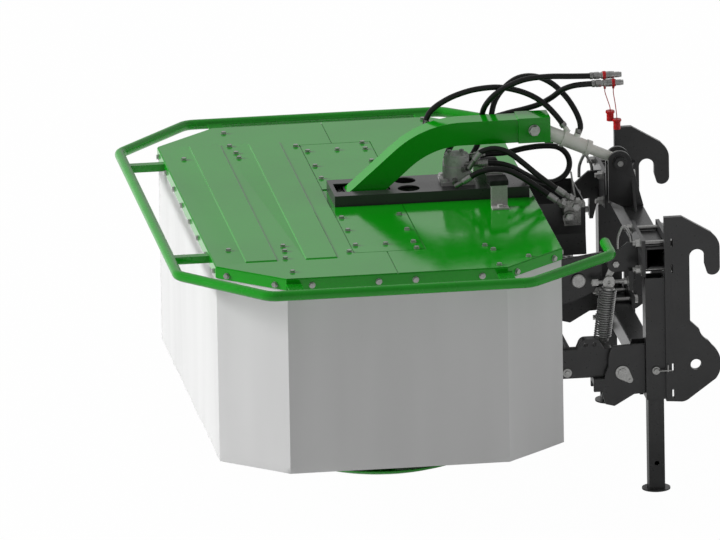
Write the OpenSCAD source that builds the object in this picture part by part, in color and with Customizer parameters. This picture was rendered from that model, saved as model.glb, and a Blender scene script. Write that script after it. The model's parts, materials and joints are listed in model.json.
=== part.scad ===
/* [Deck] */
// Length of the deck, fore and aft
deck_l = 1132; // [1100:2:1160]
// Width of the deck
deck_w = 1832; // [1780:2:1900]
// Length of a cut corner, fore and aft
corner_l = 205; // [180:5:230]
// Width of a cut corner
corner_w = 190; // [170:5:210]
// Height of the deck's top face above the feet
deck_top = 886; // [880:1:900]
// Thickness of the deck sheet
sheet_t = 3; // [2:0.5:3.5]
// Depth of the flange round the deck
flange_h = 36; // [30:1:45]
// Thickness of the bolted covers
cover_t = 3; // [2:0.5:4]
// Height of the raised fields in the front cover
field_h = 3; // [2:0.5:5]

/* [Curtains] */
// Thickness of the curtain sheet
curtain_t = 4; // [2:0.5:5]
// Height of the curtains' lower edge above the feet
curtain_foot = 233; // [210:1:260]
// Width of the clamp bars inside the curtains
clamp_bar_h = 28; // [20:1:32]

/* [Bumper] */
// Outer diameter of the bumper tube
bumper_d = 33.7; // [28:0.1:38]
// Height of the bumper tube's centre
bumper_z = 869; // [862:1:874]
// Distance from the deck's edges to the bumper's centre line
bumper_gap = 124; // [110:2:150]
// Inner bend radius of the bumper tube
bumper_bend = 60; // [50:5:90]

/* [Gooseneck] */
// Width of the gooseneck tube
neck_w = 80; // [70:1:90]
// Height of the gooseneck tube
neck_h = 78; // [70:1:84]
// Wall of the gooseneck tube
neck_wall = 5; // [4:0.5:8]
// Height of the level part's centre line
neck_z = 1094; // [1080:1:1110]
// Slope of the lower part, in degrees
neck_slope = 41; // [38:0.5:44]
// Radius of the bend, on the centre line
neck_bend = 300; // [260:5:330]

/* [Top cylinder] */
// Outer diameter of the barrel
barrel_d = 48; // [44:1:52]
// Diameter of the piston rod
rod_d = 34; // [28:1:36]
// Diameter of the pin at the barrel end
clevis_pin_d = 20; // [16:1:24]
// Diameter of the tower pin
tower_pin_d = 25; // [20:1:28]
// Clearance of the rod eye on the tower pin
eye_gap = 1; // [0.8:0.1:2]

/* [Hitch frame] */
// Side of the square cross tubes
tube_s = 70; // [66:1:74]
// Wall of the square cross tubes
tube_wall = 8; // [5:0.5:10]
// Height of the upper cross tube's centre
upper_z = 782; // [776:1:786]
// Height of the lower cross tube's centre
lower_z = 360; // [355:1:365]
// Thickness of the hook plates
hook_t = 20; // [15:1:25]
// Distance between the hook plates' inner faces
hook_gap = 1080; // [1070:2:1100]
// Width of the hooks' slots
slot_w = 50; // [44:1:54]
// Diameter of the hook plates' pin holes
hook_bore_d = 36; // [30:1:40]
// Width of a clamp, along the cross tube
clamp_w = 250; // [220:5:260]
// Thickness of the clamp plates
clamp_t = 12; // [8:1:12]
// Thread diameter of the clamp bolts
clamp_bolt_d = 16; // [12:1:18]

/* [Legs] */
// Side of the square legs
leg_s = 52; // [48:1:54]
// Wall of the square legs
leg_wall = 4; // [3:0.5:5]
// Diameter of the foot discs
foot_d = 93; // [80:1:110]
// Thickness of the foot discs
foot_t = 5; // [4:0.5:8]
// Diameter of the leg pins
leg_pin_d = 16; // [12:1:18]
// Distance between the legs' pin holes
leg_pitch = 317; // [280:1:330]

/* [Lower arms] */
// Height of the lower arms
arm_h = 96; // [88:1:100]
// Width of the lower arms
arm_w = 40; // [36:1:42]
// Diameter of the arms' pivot pins
link_pin_d = 28; // [24:1:30]
// Radial running clearance of pins, shafts and bearings
run_gap = 0.08; // [0.02:0.01:0.1]

/* [Springs] */
// Outer diameter of a spring
spring_od = 43; // [38:1:46]
// Diameter of the spring wire
spring_wire = 6; // [5:0.5:6.5]
// Turns of a spring
spring_turns = 20; // [12:1:21]

/* [Drums] */
// Distance between the drum shafts
drum_pitch = 900; // [890:5:920]
// Outer diameter of a drum
drum_d = 300; // [260:5:340]
// Diameter of a cutter disc
disc_d = 660; // [620:5:680]
// Diameter of a saucer
saucer_d = 620; // [580:5:660]
// Height of the saucers' lower faces above the feet
saucer_foot = 150; // [140:1:160]
// Length of a knife
knife_l = 150; // [130:5:155]
// Width of a knife
knife_w = 46; // [40:1:50]
// Diameter of a drum shaft
shaft_d = 50; // [40:1:54]

/* [Drive] */
// Distance from the drum shafts' line to the motor
motor_x = 325; // [310:1:340]
// Diameter of the motor body
motor_d = 92; // [80:1:96]
// Outer diameter of the motor pulley
motor_pulley_d = 120; // [100:1:130]
// Outer diameter of the input pulley
input_pulley_d = 164; // [140:1:168]
// Width of the centre beam
beam_w = 200; // [195:1:220]
// Height of the centre beam
beam_h = 37; // [35:1:40]

/* [Hydraulics] */
// Outer diameter of the hoses
hose_d = 18; // [14:0.5:19]
// Diameter of the quick couplers
coupler_d = 25; // [22:0.5:26]
// Length of the quick couplers
coupler_l = 92; // [80:1:100]

/* [Hidden] */
$fn = 48;

// Colours
green = "#22852a";
dark_green = "#146c1a";
frame_grey = "#373737";
zinc = "#b4b4b0";
cream = "#d8d8d0";
cloth = "#dcdcdc";
hose_black = "#141414";
cap_red = "#c01018";

// Everything is drawn with the deck's centre at zero, then moved so that the whole stands centred.
hook_tip = 1105;
bumper_front = deck_l / 2 + bumper_gap;
bumper_side = deck_w / 2 + bumper_gap;
fore_shift = (bumper_front + bumper_d / 2 - hook_tip) / 2;

// Hitch frame places
hitch_x = 900;
tube_front = hitch_x - tube_s / 2;
tube_rear = hitch_x + tube_s / 2;
hook_in = hook_gap / 2;
hook_front = 924;
slot_x = 1030;
slot_z = 787;
hook_bore = [1023, 423];
sleeve_s = 64;
sleeve_wall = (sleeve_s - leg_s - 1) / 2;
sleeve_x = hook_front - sleeve_s / 2;
sleeve_y = 520;
sleeve_foot = 310;
clamp_h = tube_s + 52;
clamp_bolt_z = tube_s / 2 + clamp_bolt_d / 2 + 1;
leg_pin_z = 409;
sleeve_top = upper_z - clamp_h / 2 - 2;
bracket_gap = arm_w + 16;
arm_y = 496;

// Pivots, as [fore and aft, height]
hitch_pivot = [784, 403];
deck_pivot = [500, 420];
clevis_at = [576, neck_z + 2];
tower_at = [858, 968];
link_dx = tower_at[0] - clevis_at[0];
link_dz = tower_at[1] - clevis_at[1];
link_l = sqrt(link_dx * link_dx + link_dz * link_dz);
link_tilt = atan2(-link_dz, link_dx);

// Deck places
deck_under = deck_top - sheet_t;
flange_foot = deck_top - flange_h;
half_l = deck_l / 2;
half_w = deck_w / 2;
curtain_top = deck_under - 3;
frame_s = 50;
frame_foot = deck_under - frame_s;
frame_y = 250;
beam_top = deck_top + beam_h;
beam_front = -90;
beam_rear = half_l - 16;
beam_t = 4;
belt_mid = deck_top + 3;
pulley_h = 36;
housing_h = 70;
housing_foot = frame_foot - housing_h;
drum_y = drum_pitch / 2;
disc_t = 6;
disc_z = saucer_foot + 90;
knife_t = 4;
knife_z = disc_z - 1 - knife_t;
knife_r = disc_d / 2 - 26;
drum_top = housing_foot - 12;

// Shared helpers
module from_row() translate([fore_shift, 0, 0]) children();
module both_sides() {
    children();
    mirror([0, 1, 0]) children();
}
// A flat plate drawn fore and aft by height, standing from y = 0 towards +Y
module plate_xz(t) rotate([90, 0, 0]) mirror([0, 0, 1]) linear_extrude(t) children();
// The same plate centred on y
module slab_xz(t, y = 0) translate([0, y - t / 2, 0]) plate_xz(t) children();
// A round bar along Y between two places
module bar_y(d, x, z, y0, y1) translate([x, y0, z]) rotate([-90, 0, 0]) cylinder(d = d, h = y1 - y0);
module bar_x(d, y, z, x0, x1) translate([x0, y, z]) rotate([0, 90, 0]) cylinder(d = d, h = x1 - x0);
module hex_z(across, h) cylinder(d = across / cos(30), h = h, $fn = 6);
function arc(c, r, a0, a1, n = 12) =
    [for (i = [0:n]) let (a = a0 + (a1 - a0) * i / n) [c[0] + r * cos(a), c[1] + r * sin(a)]];
// The octagon of the deck, drawn in by a margin on every side
function octagon(m) = let (k = m * (sqrt(corner_l * corner_l + corner_w * corner_w) - corner_w) / corner_l,
    j = m * (sqrt(corner_l * corner_l + corner_w * corner_w) - corner_l) / corner_w)
    [[half_l - m, half_w - corner_w - k], [half_l - corner_l - j, half_w - m],
     [-half_l + corner_l + j, half_w - m], [-half_l + m, half_w - corner_w - k],
     [-half_l + m, -half_w + corner_w + k], [-half_l + corner_l + j, -half_w + m],
     [half_l - corner_l - j, -half_w + m], [half_l - m, -half_w + corner_w + k]];
module octagon_ring(outer, inner) difference() {
    polygon(octagon(outer));
    polygon(octagon(inner));
}

// A round rod between two places
module rod_between(a, b, d) {
    v = b - a;
    translate(a) rotate([0, acos(v[2] / norm(v)), atan2(v[1], v[0])]) cylinder(d = d, h = norm(v));
}

// A bolt head with its washer, standing on z = 0
module bolt_head(d, washer = true) {
    if (washer) cylinder(d = 2.1 * d, h = 0.16 * d);
    translate([0, 0, washer ? 0.16 * d : 0]) hex_z(1.6 * d, 0.65 * d);
}

// A tube swept along a route of places, in mm, by rings square to the route
function unit(v) = v / norm(v);
function way(p, i) = unit(i == 0 ? p[1] - p[0]
    : i == len(p) - 1 ? p[i] - p[i - 1] : unit(p[i + 1] - p[i]) + unit(p[i] - p[i - 1]));
module tube_on(p, d, sides = 8, aside = [0, 1, 0]) {
    rings = [for (i = [0:len(p) - 1]) let (t = way(p, i), s = unit(cross(t, aside)), u = cross(s, t))
        for (k = [0:sides - 1]) let (a = 360 * k / sides) p[i] + d / 2 * (cos(a) * s + sin(a) * u)];
    n = len(p);
    walls = [for (i = [0:n - 2], k = [0:sides - 1]) let (a = i * sides + k,
        b = i * sides + (k + 1) % sides) each [[a, b, b + sides], [a, b + sides, a + sides]]];
    start = [for (k = [1:sides - 2]) [0, k + 1, k]];
    last = (n - 1) * sides;
    end = [for (k = [1:sides - 2]) [last, last + k, last + k + 1]];
    polyhedron(points = rings, faces = concat(walls, start, end), convexity = 4);
}

// Hitch frame

module cross_tube(z, half) difference() {
    translate([tube_front, -half, z - tube_s / 2]) cube([tube_s, 2 * half, tube_s]);
    translate([tube_front + tube_wall, -half - 1, z - tube_s / 2 + tube_wall])
        cube([tube_s - 2 * tube_wall, 2 * half + 2, tube_s - 2 * tube_wall]);
}
module upper_cross_tube() color(frame_grey) from_row() cross_tube(upper_z, hook_in);
module lower_cross_tube() color(frame_grey) from_row() cross_tube(lower_z, sleeve_y - sleeve_s / 2);

module leg_sleeves() color(frame_grey) from_row() both_sides() difference() {
    translate([sleeve_x - sleeve_s / 2, sleeve_y - sleeve_s / 2, sleeve_foot])
        cube([sleeve_s, sleeve_s, sleeve_top - sleeve_foot]);
    translate([sleeve_x - sleeve_s / 2 + sleeve_wall, sleeve_y - sleeve_s / 2 + sleeve_wall, 0])
        cube([sleeve_s - 2 * sleeve_wall, sleeve_s - 2 * sleeve_wall, sleeve_top + 1]);
    bar_y(leg_pin_d + 2 * run_gap, sleeve_x, leg_pin_z, sleeve_y - sleeve_s, sleeve_y + sleeve_s);
}

// Side outline of a hook plate: hook above, pin lobe below
module hook_outline() difference() {
    polygon(concat(
        [[hook_front, 304], [hook_front, 924]],
        [[982, 924], [1078, 866]],
        arc([hook_tip - 55, 815], 55, 50, 0, 8),
        arc([hook_tip - 25, 748], 25, 0, -130, 10),
        [[slot_x + slot_w / 2, 760]],
        arc([slot_x, slot_z], slot_w / 2, 0, 180, 16),
        [[slot_x - slot_w / 2, 571]],
        arc([slot_x + 62, 552], 58, 190, 242, 6),
        arc(hook_bore, 82, 48, -38, 14),
        arc([974, 340], 40, -50, -100, 6)));
    translate(hook_bore) circle(d = hook_bore_d);
    // Narrow slits beside the clamp bolts, one at each washer
    for (z = [upper_z, lower_z], s = [-1, 1])
        translate([tube_rear + clamp_t - 3, z + s * clamp_bolt_z - 2]) square([7, 28]);
}
module hook_plate() translate([0, hook_in, 0]) plate_xz(hook_t) hook_outline();
// The flange that takes the clamp bolts, welded to the inner face of the plate
module hook_flange(z, y_in, y_out) difference() {
    translate([tube_rear, y_in, z - clamp_h / 2]) cube([clamp_t, y_out - y_in, clamp_h]);
    for (y = [y_in + 35, y_out - 35], s = [-1, 1])
        bar_x(clamp_bolt_d + 1, y, z + s * clamp_bolt_z, tube_rear - 1, tube_rear + clamp_t + 1);
}
upper_clamp = [hook_in - clamp_w, hook_in];
lower_clamp = [hook_in - clamp_w - 20, hook_in - 90];
module hook_side() {
    hook_plate();
    hook_flange(upper_z, upper_clamp[0], upper_clamp[1]);
    hook_flange(lower_z, lower_clamp[0], lower_clamp[1]);
    translate([tube_rear, lower_clamp[1], lower_z - 20]) cube([clamp_t, hook_in - lower_clamp[1], 60]);
    for (z = [upper_z + 18, lower_z - 12])
        translate([tube_rear + clamp_t, hook_in, z]) rotate([0, 0, 180]) mirror([1, 0, 0])
            linear_extrude(8) polygon([[0, 0], [45, 0], [0, 120]]);
}
module right_hook_plate() color(frame_grey) from_row() hook_side();
module left_hook_plate() color(frame_grey) from_row() mirror([0, 1, 0]) hook_side();

module clamp_plate(z, y_in, y_out) difference() {
    translate([tube_front - clamp_t, y_in, z - clamp_h / 2]) cube([clamp_t, y_out - y_in, clamp_h]);
    for (y = [y_in + 35, y_out - 35], s = [-1, 1])
        bar_x(clamp_bolt_d + 1, y, z + s * clamp_bolt_z, tube_front - clamp_t - 1, tube_front + 1);
}
module clamp_plates() color(frame_grey) from_row() both_sides() {
    clamp_plate(upper_z, upper_clamp[0], upper_clamp[1]);
    clamp_plate(lower_z, lower_clamp[0], lower_clamp[1]);
}
// A through bolt along X: nut at the front, washer and head at the rear
module clamp_bolt() {
    front = tube_front - clamp_t;
    rear = tube_rear + clamp_t;
    translate([front - 26, 0, 0]) rotate([0, 90, 0]) cylinder(d = clamp_bolt_d, h = rear - front + 27);
    for (x = [front - 3, rear]) translate([x, 0, 0]) rotate([0, 90, 0]) cylinder(d = 2 * clamp_bolt_d, h = 3);
    translate([front - 3 - 14, 0, 0]) rotate([0, 90, 0]) hex_z(1.5 * clamp_bolt_d, 14);
    translate([rear + 3, 0, 0]) rotate([0, 90, 0]) hex_z(1.5 * clamp_bolt_d, 10);
}
module clamp_bolts() color(zinc) from_row() both_sides()
    for (c = [[upper_z, upper_clamp], [lower_z, lower_clamp]], s = [-1, 1])
        for (y = [c[1][0] + 35, c[1][1] - 35]) translate([0, y, c[0] + s * clamp_bolt_z]) clamp_bolt();

// Tower that holds the top cylinder's rod
tower_t = 12;
tower_gap = 44;
tower_r = 38;
tube_top = upper_z + tube_s / 2;
module tower_side() difference() {
    polygon(concat([[tube_rear, tube_top], [tower_at[0] + tower_r, tower_at[1]]],
        arc(tower_at, tower_r, 0, 180, 20),
        [[tower_at[0] - tower_r, tube_top + 24], [tube_front, tube_top]]));
    translate(tower_at) circle(d = tower_pin_d);
}
module tower() color(frame_grey) from_row() {
    both_sides() translate([0, tower_gap / 2, 0]) plate_xz(tower_t) tower_side();
    // Boss rings round the pin
    both_sides() difference() {
        bar_y(tower_pin_d + 22, tower_at[0], tower_at[1], tower_gap / 2 + tower_t, tower_gap / 2 + tower_t + 6);
        bar_y(tower_pin_d, tower_at[0], tower_at[1], tower_gap / 2, tower_gap / 2 + 30);
    }
    // Back plate between the sides, and the two gussets outside them
    translate([0, -tower_gap / 2, 0]) plate_xz(tower_gap)
        polygon([[tube_rear - 10, tube_top], [tube_rear, tube_top], [tower_at[0] + tower_r + 2, 930],
            [tower_at[0] + tower_r - 8, 930]]);
    both_sides() translate([tube_rear - 40, tower_gap / 2 + tower_t, tube_top]) rotate([90, 0, 90])
        linear_extrude(8) polygon([[0, 0], [70, 0], [0, 90]]);
}
module tower_pin() {
    reach = tower_gap / 2 + tower_t + 6;
    bar_y(tower_pin_d, tower_at[0], tower_at[1], -reach - 12, reach + 14);
    bar_y(tower_pin_d + 14, tower_at[0], tower_at[1], -reach - 6, -reach);
    bar_y(tower_pin_d + 8, tower_at[0], tower_at[1], reach, reach + 5);
}

// Brackets that carry the lower arms, with the stop block under each arm
bracket_t = 12;
bracket_in = arm_y - bracket_gap / 2;
bracket_out = arm_y + bracket_gap / 2;
stop_top = hitch_pivot[1] + 78 - arm_h - 0.4;
lug_top = hitch_pivot[1] + 74;
module bracket_outline(rear) difference() {
    polygon(concat([[rear, 494], [800, 494]],
        arc([838, 440], 100, 148, 188, 8),
        [[727, 398], [719, 330], [727, 298], [757, 290], [822, 327], [rear, 329]]));
    translate(hitch_pivot) circle(d = link_pin_d);
}
// The inner plate is cut back behind the spring's channel
module inner_bracket_outline() difference() {
    polygon(concat([[tube_front, 494], [825, 494], [812, 440]], arc(hitch_pivot, 32, 50, 150, 8),
        [[727, 392], [719, 330], [727, 298], [757, 290], [822, 327], [tube_front, 329]]));
    translate(hitch_pivot) circle(d = link_pin_d);
}
module pivot_brackets() color(frame_grey) from_row() both_sides() {
    translate([0, bracket_in - bracket_t, 0]) plate_xz(bracket_t) inner_bracket_outline();
    translate([0, bracket_out, 0]) plate_xz(bracket_t) bracket_outline(sleeve_x - sleeve_s / 2);
    translate([690, bracket_in, stop_top - 22]) cube([42, bracket_gap, 22]);
    translate([690, bracket_in - bracket_t, stop_top - 44]) cube([42, bracket_t, 44]);
    translate([690, bracket_out, stop_top - 44]) cube([42, bracket_t, 44]);
}
// Lower link pins, with a flag plate outside and a round head inside
module link_pins() both_sides() {
    outer = bracket_out + bracket_t;
    inner = bracket_in - bracket_t;
    flag = hitch_pivot + [24, -26];
    aim = atan2(flag[1] - hitch_pivot[1], flag[0] - hitch_pivot[0]);
    bar_y(link_pin_d, hitch_pivot[0], hitch_pivot[1], inner - 8, outer + 9);
    bar_y(link_pin_d + 14, hitch_pivot[0], hitch_pivot[1], inner - 6, inner);
    translate([0, outer, 0]) plate_xz(5)
        polygon(concat(arc(hitch_pivot, 23, aim + 68, aim + 292, 20), arc(flag, 10, aim - 68, aim + 68, 10)));
    bar_y(8, flag[0], flag[1], outer + 5, outer + 9);
}
module frame_pins() color(zinc) from_row() {
    tower_pin();
    link_pins();
}

// Spring brackets: a lobed plate on the clamp and an angled tab that holds the anchor rod
spring_y = 434;
spring_top = [755, 657];
spring_foot = [734, 494];
shackle_at = [781, 742];
rod_z = 681;
tab_x = 822;
rod_d_spring = 12;
eye_x = 758;
spring_tilt = atan2(spring_top[0] - spring_foot[0], spring_top[1] - spring_foot[1]);
module spring_brackets() color(frame_grey) from_row() both_sides() {
    clamp_face = tube_front - clamp_t;
    slab_xz(12, spring_y) difference() {
        polygon(concat([[clamp_face, 724], [clamp_face, 812], [820, 812]], arc(shackle_at, 28, 128, 262, 12)));
        translate(shackle_at) circle(d = 12.2);
    }
    slab_xz(12, spring_y) polygon([[tab_x, 726], [clamp_face, 730], [clamp_face, 722], [tab_x + 12, 650],
        [tab_x, 650]]);
    translate([tab_x, spring_y + 6, 655]) difference() {
        cube([12, 22, 68]);
        translate([-1, 0, 12]) cube([14, 7, 24]);
    }
}
// Anchor rod with nuts, the eye that the spring hooks into, and the shackle above it
module spring_anchors() color(zinc) from_row() both_sides() {
    bar_x(rod_d_spring, spring_y, rod_z, 700, tab_x);
    bar_x(30, spring_y, rod_z, tab_x - 3, tab_x);
    for (x = [703, 713, tab_x - 14]) translate([x, spring_y, rod_z]) rotate([0, 90, 0]) hex_z(19, 10);
    // Eye on the rod, and the plug that the spring is wound on
    slab_xz(12, spring_y) difference() {
        translate([eye_x, rod_z]) circle(d = 40);
        translate([eye_x, rod_z]) circle(d = rod_d_spring - 1);
    }
    spring_end(spring_top, -1, 6);
    // Shackle strap beside the bracket, and its bolt
    translate([0, spring_y - 6 - 5, 0]) plate_xz(5) difference() {
        polygon(concat(arc(shackle_at, 13, -20, 160, 10), arc([eye_x - 4, rod_z + 8], 9, 160, 340, 8)));
        translate(shackle_at) circle(d = 12);
    }
    bar_y(12, shackle_at[0], shackle_at[1], spring_y - 19, spring_y + 16);
    translate([shackle_at[0], spring_y - 11, shackle_at[1]]) rotate([90, 0, 0]) hex_z(19, 8);
    translate([shackle_at[0], spring_y + 6, shackle_at[1]]) rotate([-90, 0, 0]) hex_z(19, 8);
}
// A round plug that closes one end of a spring; way is 1 towards the spring's foot
module spring_end(at, way, h) translate([at[0], spring_y, at[1]]) rotate([0, spring_tilt, 0])
    translate([0, 0, way < 0 ? 0 : -h]) cylinder(d = spring_od, h = h);

// Parking legs with their foot discs
module parking_legs() color(frame_grey) from_row() both_sides() {
    difference() {
        translate([sleeve_x - leg_s / 2, sleeve_y - leg_s / 2, foot_t])
            cube([leg_s, leg_s, leg_pin_z + 70 - foot_t]);
        translate([sleeve_x - leg_s / 2 + leg_wall, sleeve_y - leg_s / 2 + leg_wall, foot_t - 1])
            cube([leg_s - 2 * leg_wall, leg_s - 2 * leg_wall, leg_pin_z + 80]);
        for (z = [leg_pin_z, leg_pin_z - leg_pitch])
            bar_y(leg_pin_d + 2 * run_gap, sleeve_x, z, sleeve_y - leg_s, sleeve_y + leg_s);
    }
    translate([sleeve_x, sleeve_y, 0]) cylinder(d = foot_d, h = foot_t);
}
// A leg pin: shank, round head and the wire clip that locks it
module leg_pin() {
    face = sleeve_y + sleeve_s / 2;
    clip_y = face + 14;
    bar_y(leg_pin_d, sleeve_x, leg_pin_z, sleeve_y - sleeve_s / 2 - 4, clip_y + 4);
    bar_y(leg_pin_d + 10, sleeve_x, leg_pin_z, face, face + 8);
    bar_x(5, clip_y, leg_pin_z, sleeve_x + 2, sleeve_x + 50);
    translate([sleeve_x + 38, clip_y, leg_pin_z - 4]) cylinder(d = 5, h = 24);
}
module right_leg_pin() color(zinc) from_row() leg_pin();
module left_leg_pin() color(zinc) from_row() mirror([0, 1, 0]) leg_pin();

// Springs: one unbroken close-wound wire, with a straight stub to each anchor
module spring() {
    length = norm(spring_foot - spring_top);
    r = (spring_od - spring_wire) / 2;
    lead = spring_wire;
    pitch = (length - 2 * lead) / spring_turns;
    echo(spring_least_gap = pitch - spring_wire);
    coil = concat([[r, 0, 0]], [for (i = [0:spring_turns * 8])
        [r * cos(45 * i), r * sin(45 * i), -lead - pitch * i / 8]], [[r, 0, -length]]);
    translate([spring_top[0], spring_y, spring_top[1]]) rotate([0, spring_tilt, 0])
        tube_on(coil, spring_wire, 6, [0.001, 0.002, 1]);
}
module right_spring() color(zinc) from_row() spring();
module left_spring() color(zinc) from_row() mirror([0, 1, 0]) spring();

// Lower arms

arm_top = hitch_pivot[1] + 78;
arm_low = arm_top - arm_h;
module arm_outline() difference() {
    polygon(concat(
        [[deck_pivot[0] - 30, arm_low]], arc(deck_pivot, 42, 225, 110, 12),
        [[deck_pivot[0] + 30, arm_top], [640, arm_top]],
        arc([668, 492], 22, 168, 90, 6), arc([696, 492], 22, 90, 20, 6),
        [[728, arm_top], [750, arm_top]],
        arc(hitch_pivot, 44, 80, -100, 16),
        [[752, arm_low - 6], [740, arm_low]]));
    translate(hitch_pivot) circle(d = link_pin_d + 2 * run_gap);
    translate(deck_pivot) circle(d = link_pin_d);
    for (x = [668, 696]) translate([x, 496]) circle(d = 13);
}
module lower_arms() color(frame_grey) from_row() {
    both_sides() slab_xz(arm_w, arm_y) arm_outline();
    // Cross tube between the arms
    difference() {
        bar_y(60, 610, arm_low + 48, -arm_y + arm_w / 2, arm_y - arm_w / 2);
        bar_y(50, 610, arm_low + 48, -arm_y, arm_y);
    }
    // Channel beside each arm for the spring's lower end
    lug_in = spring_y - spring_od / 2;
    lug_w = arm_y - arm_w / 2 - lug_in;
    both_sides() difference() {
        translate([spring_foot[0] - 24, lug_in, lug_top - 30]) cube([48, lug_w, 30]);
        translate([spring_foot[0] - 25, lug_in - 1, lug_top - 22]) cube([50, lug_w - 7, 14]);
    }
}
module arm_pins() color(zinc) from_row() both_sides() {
    bar_y(link_pin_d, deck_pivot[0], deck_pivot[1], arm_y - arm_w / 2 - 28, arm_y + arm_w / 2 + 28);
    bar_y(16, 606, arm_low + 20, arm_y + arm_w / 2, arm_y + arm_w / 2 + 8);
    bar_y(30, 606, arm_low + 20, arm_y + arm_w / 2, arm_y + arm_w / 2 + 4);
    // Plug that holds the spring's lower end, and its nut under the channel
    spring_end(spring_foot, 1, 8);
    foot = spring_foot - 6 * [sin(spring_tilt), cos(spring_tilt)];
    translate([foot[0], spring_y, lug_top]) cylinder(d = 24, h = foot[1] - lug_top);
    translate([foot[0], spring_y, lug_top - 8 - 9]) hex_z(19, 9);
}

// Top cylinder, drawn along its own axis from the clevis pin

module on_link() translate([clevis_at[0], 0, clevis_at[1]]) rotate([0, link_tilt, 0]) rotate([0, 90, 0])
    children();
barrel_l = 207;
bore_d = barrel_d - 8;
port_at = [112, 150];
module cylinder_barrel() color(cream) from_row() {
    on_link() difference() {
        union() {
            translate([0, 0, 22]) cylinder(d = barrel_d, h = barrel_l - 22);
            translate([0, 0, barrel_l - 16]) cylinder(d = barrel_d + 6, h = 16);
            translate([0, -22, 0]) rotate([-90, 0, 0]) cylinder(d = barrel_d + 2, h = 44);
            translate([0, 0, port_at[0] - 6]) cylinder(d = barrel_d + 8, h = 12);
            for (z = port_at) translate([0, 0, z]) rotate([0, -90, 0])
                cylinder(d = 22, h = barrel_d / 2 + 10);
        }
        translate([0, 0, 34]) cylinder(d = bore_d, h = barrel_l - 34 - 14);
        translate([0, 0, barrel_l - 20]) cylinder(d = rod_d + 2 * run_gap, h = 30);
        translate([0, -40, 0]) rotate([-90, 0, 0]) cylinder(d = clevis_pin_d + 2 * run_gap, h = 80);
    }
    // Elbow from the first port to its hose
    hose_tail(barrel_feed, true, 16, 15, 0.5);
}
module cylinder_rod() color(cream) from_row() on_link() difference() {
    union() {
        translate([0, 0, 120]) cylinder(d = bore_d - 2 * run_gap, h = 24);
        translate([0, 0, 140]) cylinder(d = rod_d, h = link_l - 140);
        translate([0, -15, link_l]) rotate([-90, 0, 0]) cylinder(d = 54, h = 30);
    }
    translate([0, -40, link_l]) rotate([-90, 0, 0]) cylinder(d = tower_pin_d + 2 * eye_gap, h = 80);
}

// Deck

slot_rear = motor_x + motor_pulley_d / 2 + 15;
slot_front = -input_pulley_d / 2 - 4;
module deck_pan() color(green) from_row() difference() {
    union() {
        translate([0, 0, deck_under]) linear_extrude(sheet_t) polygon(octagon(0));
        translate([0, 0, flange_foot]) linear_extrude(flange_h - sheet_t) octagon_ring(0, sheet_t);
    }
    translate([slot_front, -beam_w / 2 + 8, deck_under - 1])
        cube([slot_rear - slot_front, beam_w - 16, sheet_t + 2]);
}
// Bolted covers with narrow seams: front, rear and a hatch over the drive, all cut back at the centre beam
cover_edge = 3;
seam = 3;
hatch_x = [-104, 129];
hatch_y = half_w - 261;
cross_seam = 3;
field_x = [-half_l + 154, -half_l + 350];
field_l = 105;
field_y = half_w - corner_w - 26;
module raised_field(x) intersection() {
    translate([0, -field_y, 0]) plate_xz(2 * field_y) translate([x, deck_top + cover_t]) polygon([
        [-field_l / 2, 0], [-field_l / 2 + field_h, field_h], [field_l / 2 - field_h, field_h], [field_l / 2, 0]]);
    translate([x - field_l, 0, deck_top + cover_t]) rotate([90, 0, 90]) linear_extrude(2 * field_l) polygon([
        [-field_y, 0], [-field_y + field_h, field_h], [field_y - field_h, field_h], [field_y, 0]]);
}
module hatch_area(grow) translate([hatch_x[0] - grow, -hatch_y - grow])
    square([hatch_x[1] - hatch_x[0] + 2 * grow, 2 * (hatch_y + grow)]);
module beam_area() translate([hatch_x[0] - seam, -beam_w / 2 - 12]) square([deck_l, beam_w + 24]);
module deck_covers() color(green) from_row() {
    translate([0, 0, deck_top]) linear_extrude(cover_t) difference() {
        polygon(octagon(cover_edge));
        beam_area();
        difference() {
            hatch_area(seam / 2);
            hatch_area(-seam / 2);
        }
        both_sides() translate([cross_seam - seam / 2, hatch_y]) square([seam, half_w]);
    }
    for (x = field_x) raised_field(x);
}
// Small flanged bolts that hold the covers, as [fore and aft, sideways]: front, rear and hatch
cover_bolt_at = [
    for (p = [[66, 365], [246, 381], [244, 322], [234, 236], [236, 76], [448, 276]])
        [-half_l + p[0], half_w - p[1]],
    for (p = [[243, 263], [223, 211], [229, 31], [122, 111]]) [half_l - p[0], half_w - p[1]],
    for (y = [240, 390, 570]) [hatch_x[0] + 16, y],
    for (y = [236, 417, 565, hatch_y - 15]) [hatch_x[1] - 27, y],
    [10, 572]];
module cover_bolts() color(zinc) from_row() both_sides()
    for (p = cover_bolt_at) translate([p[0], p[1], deck_top + cover_t]) bolt_head(9);
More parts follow.
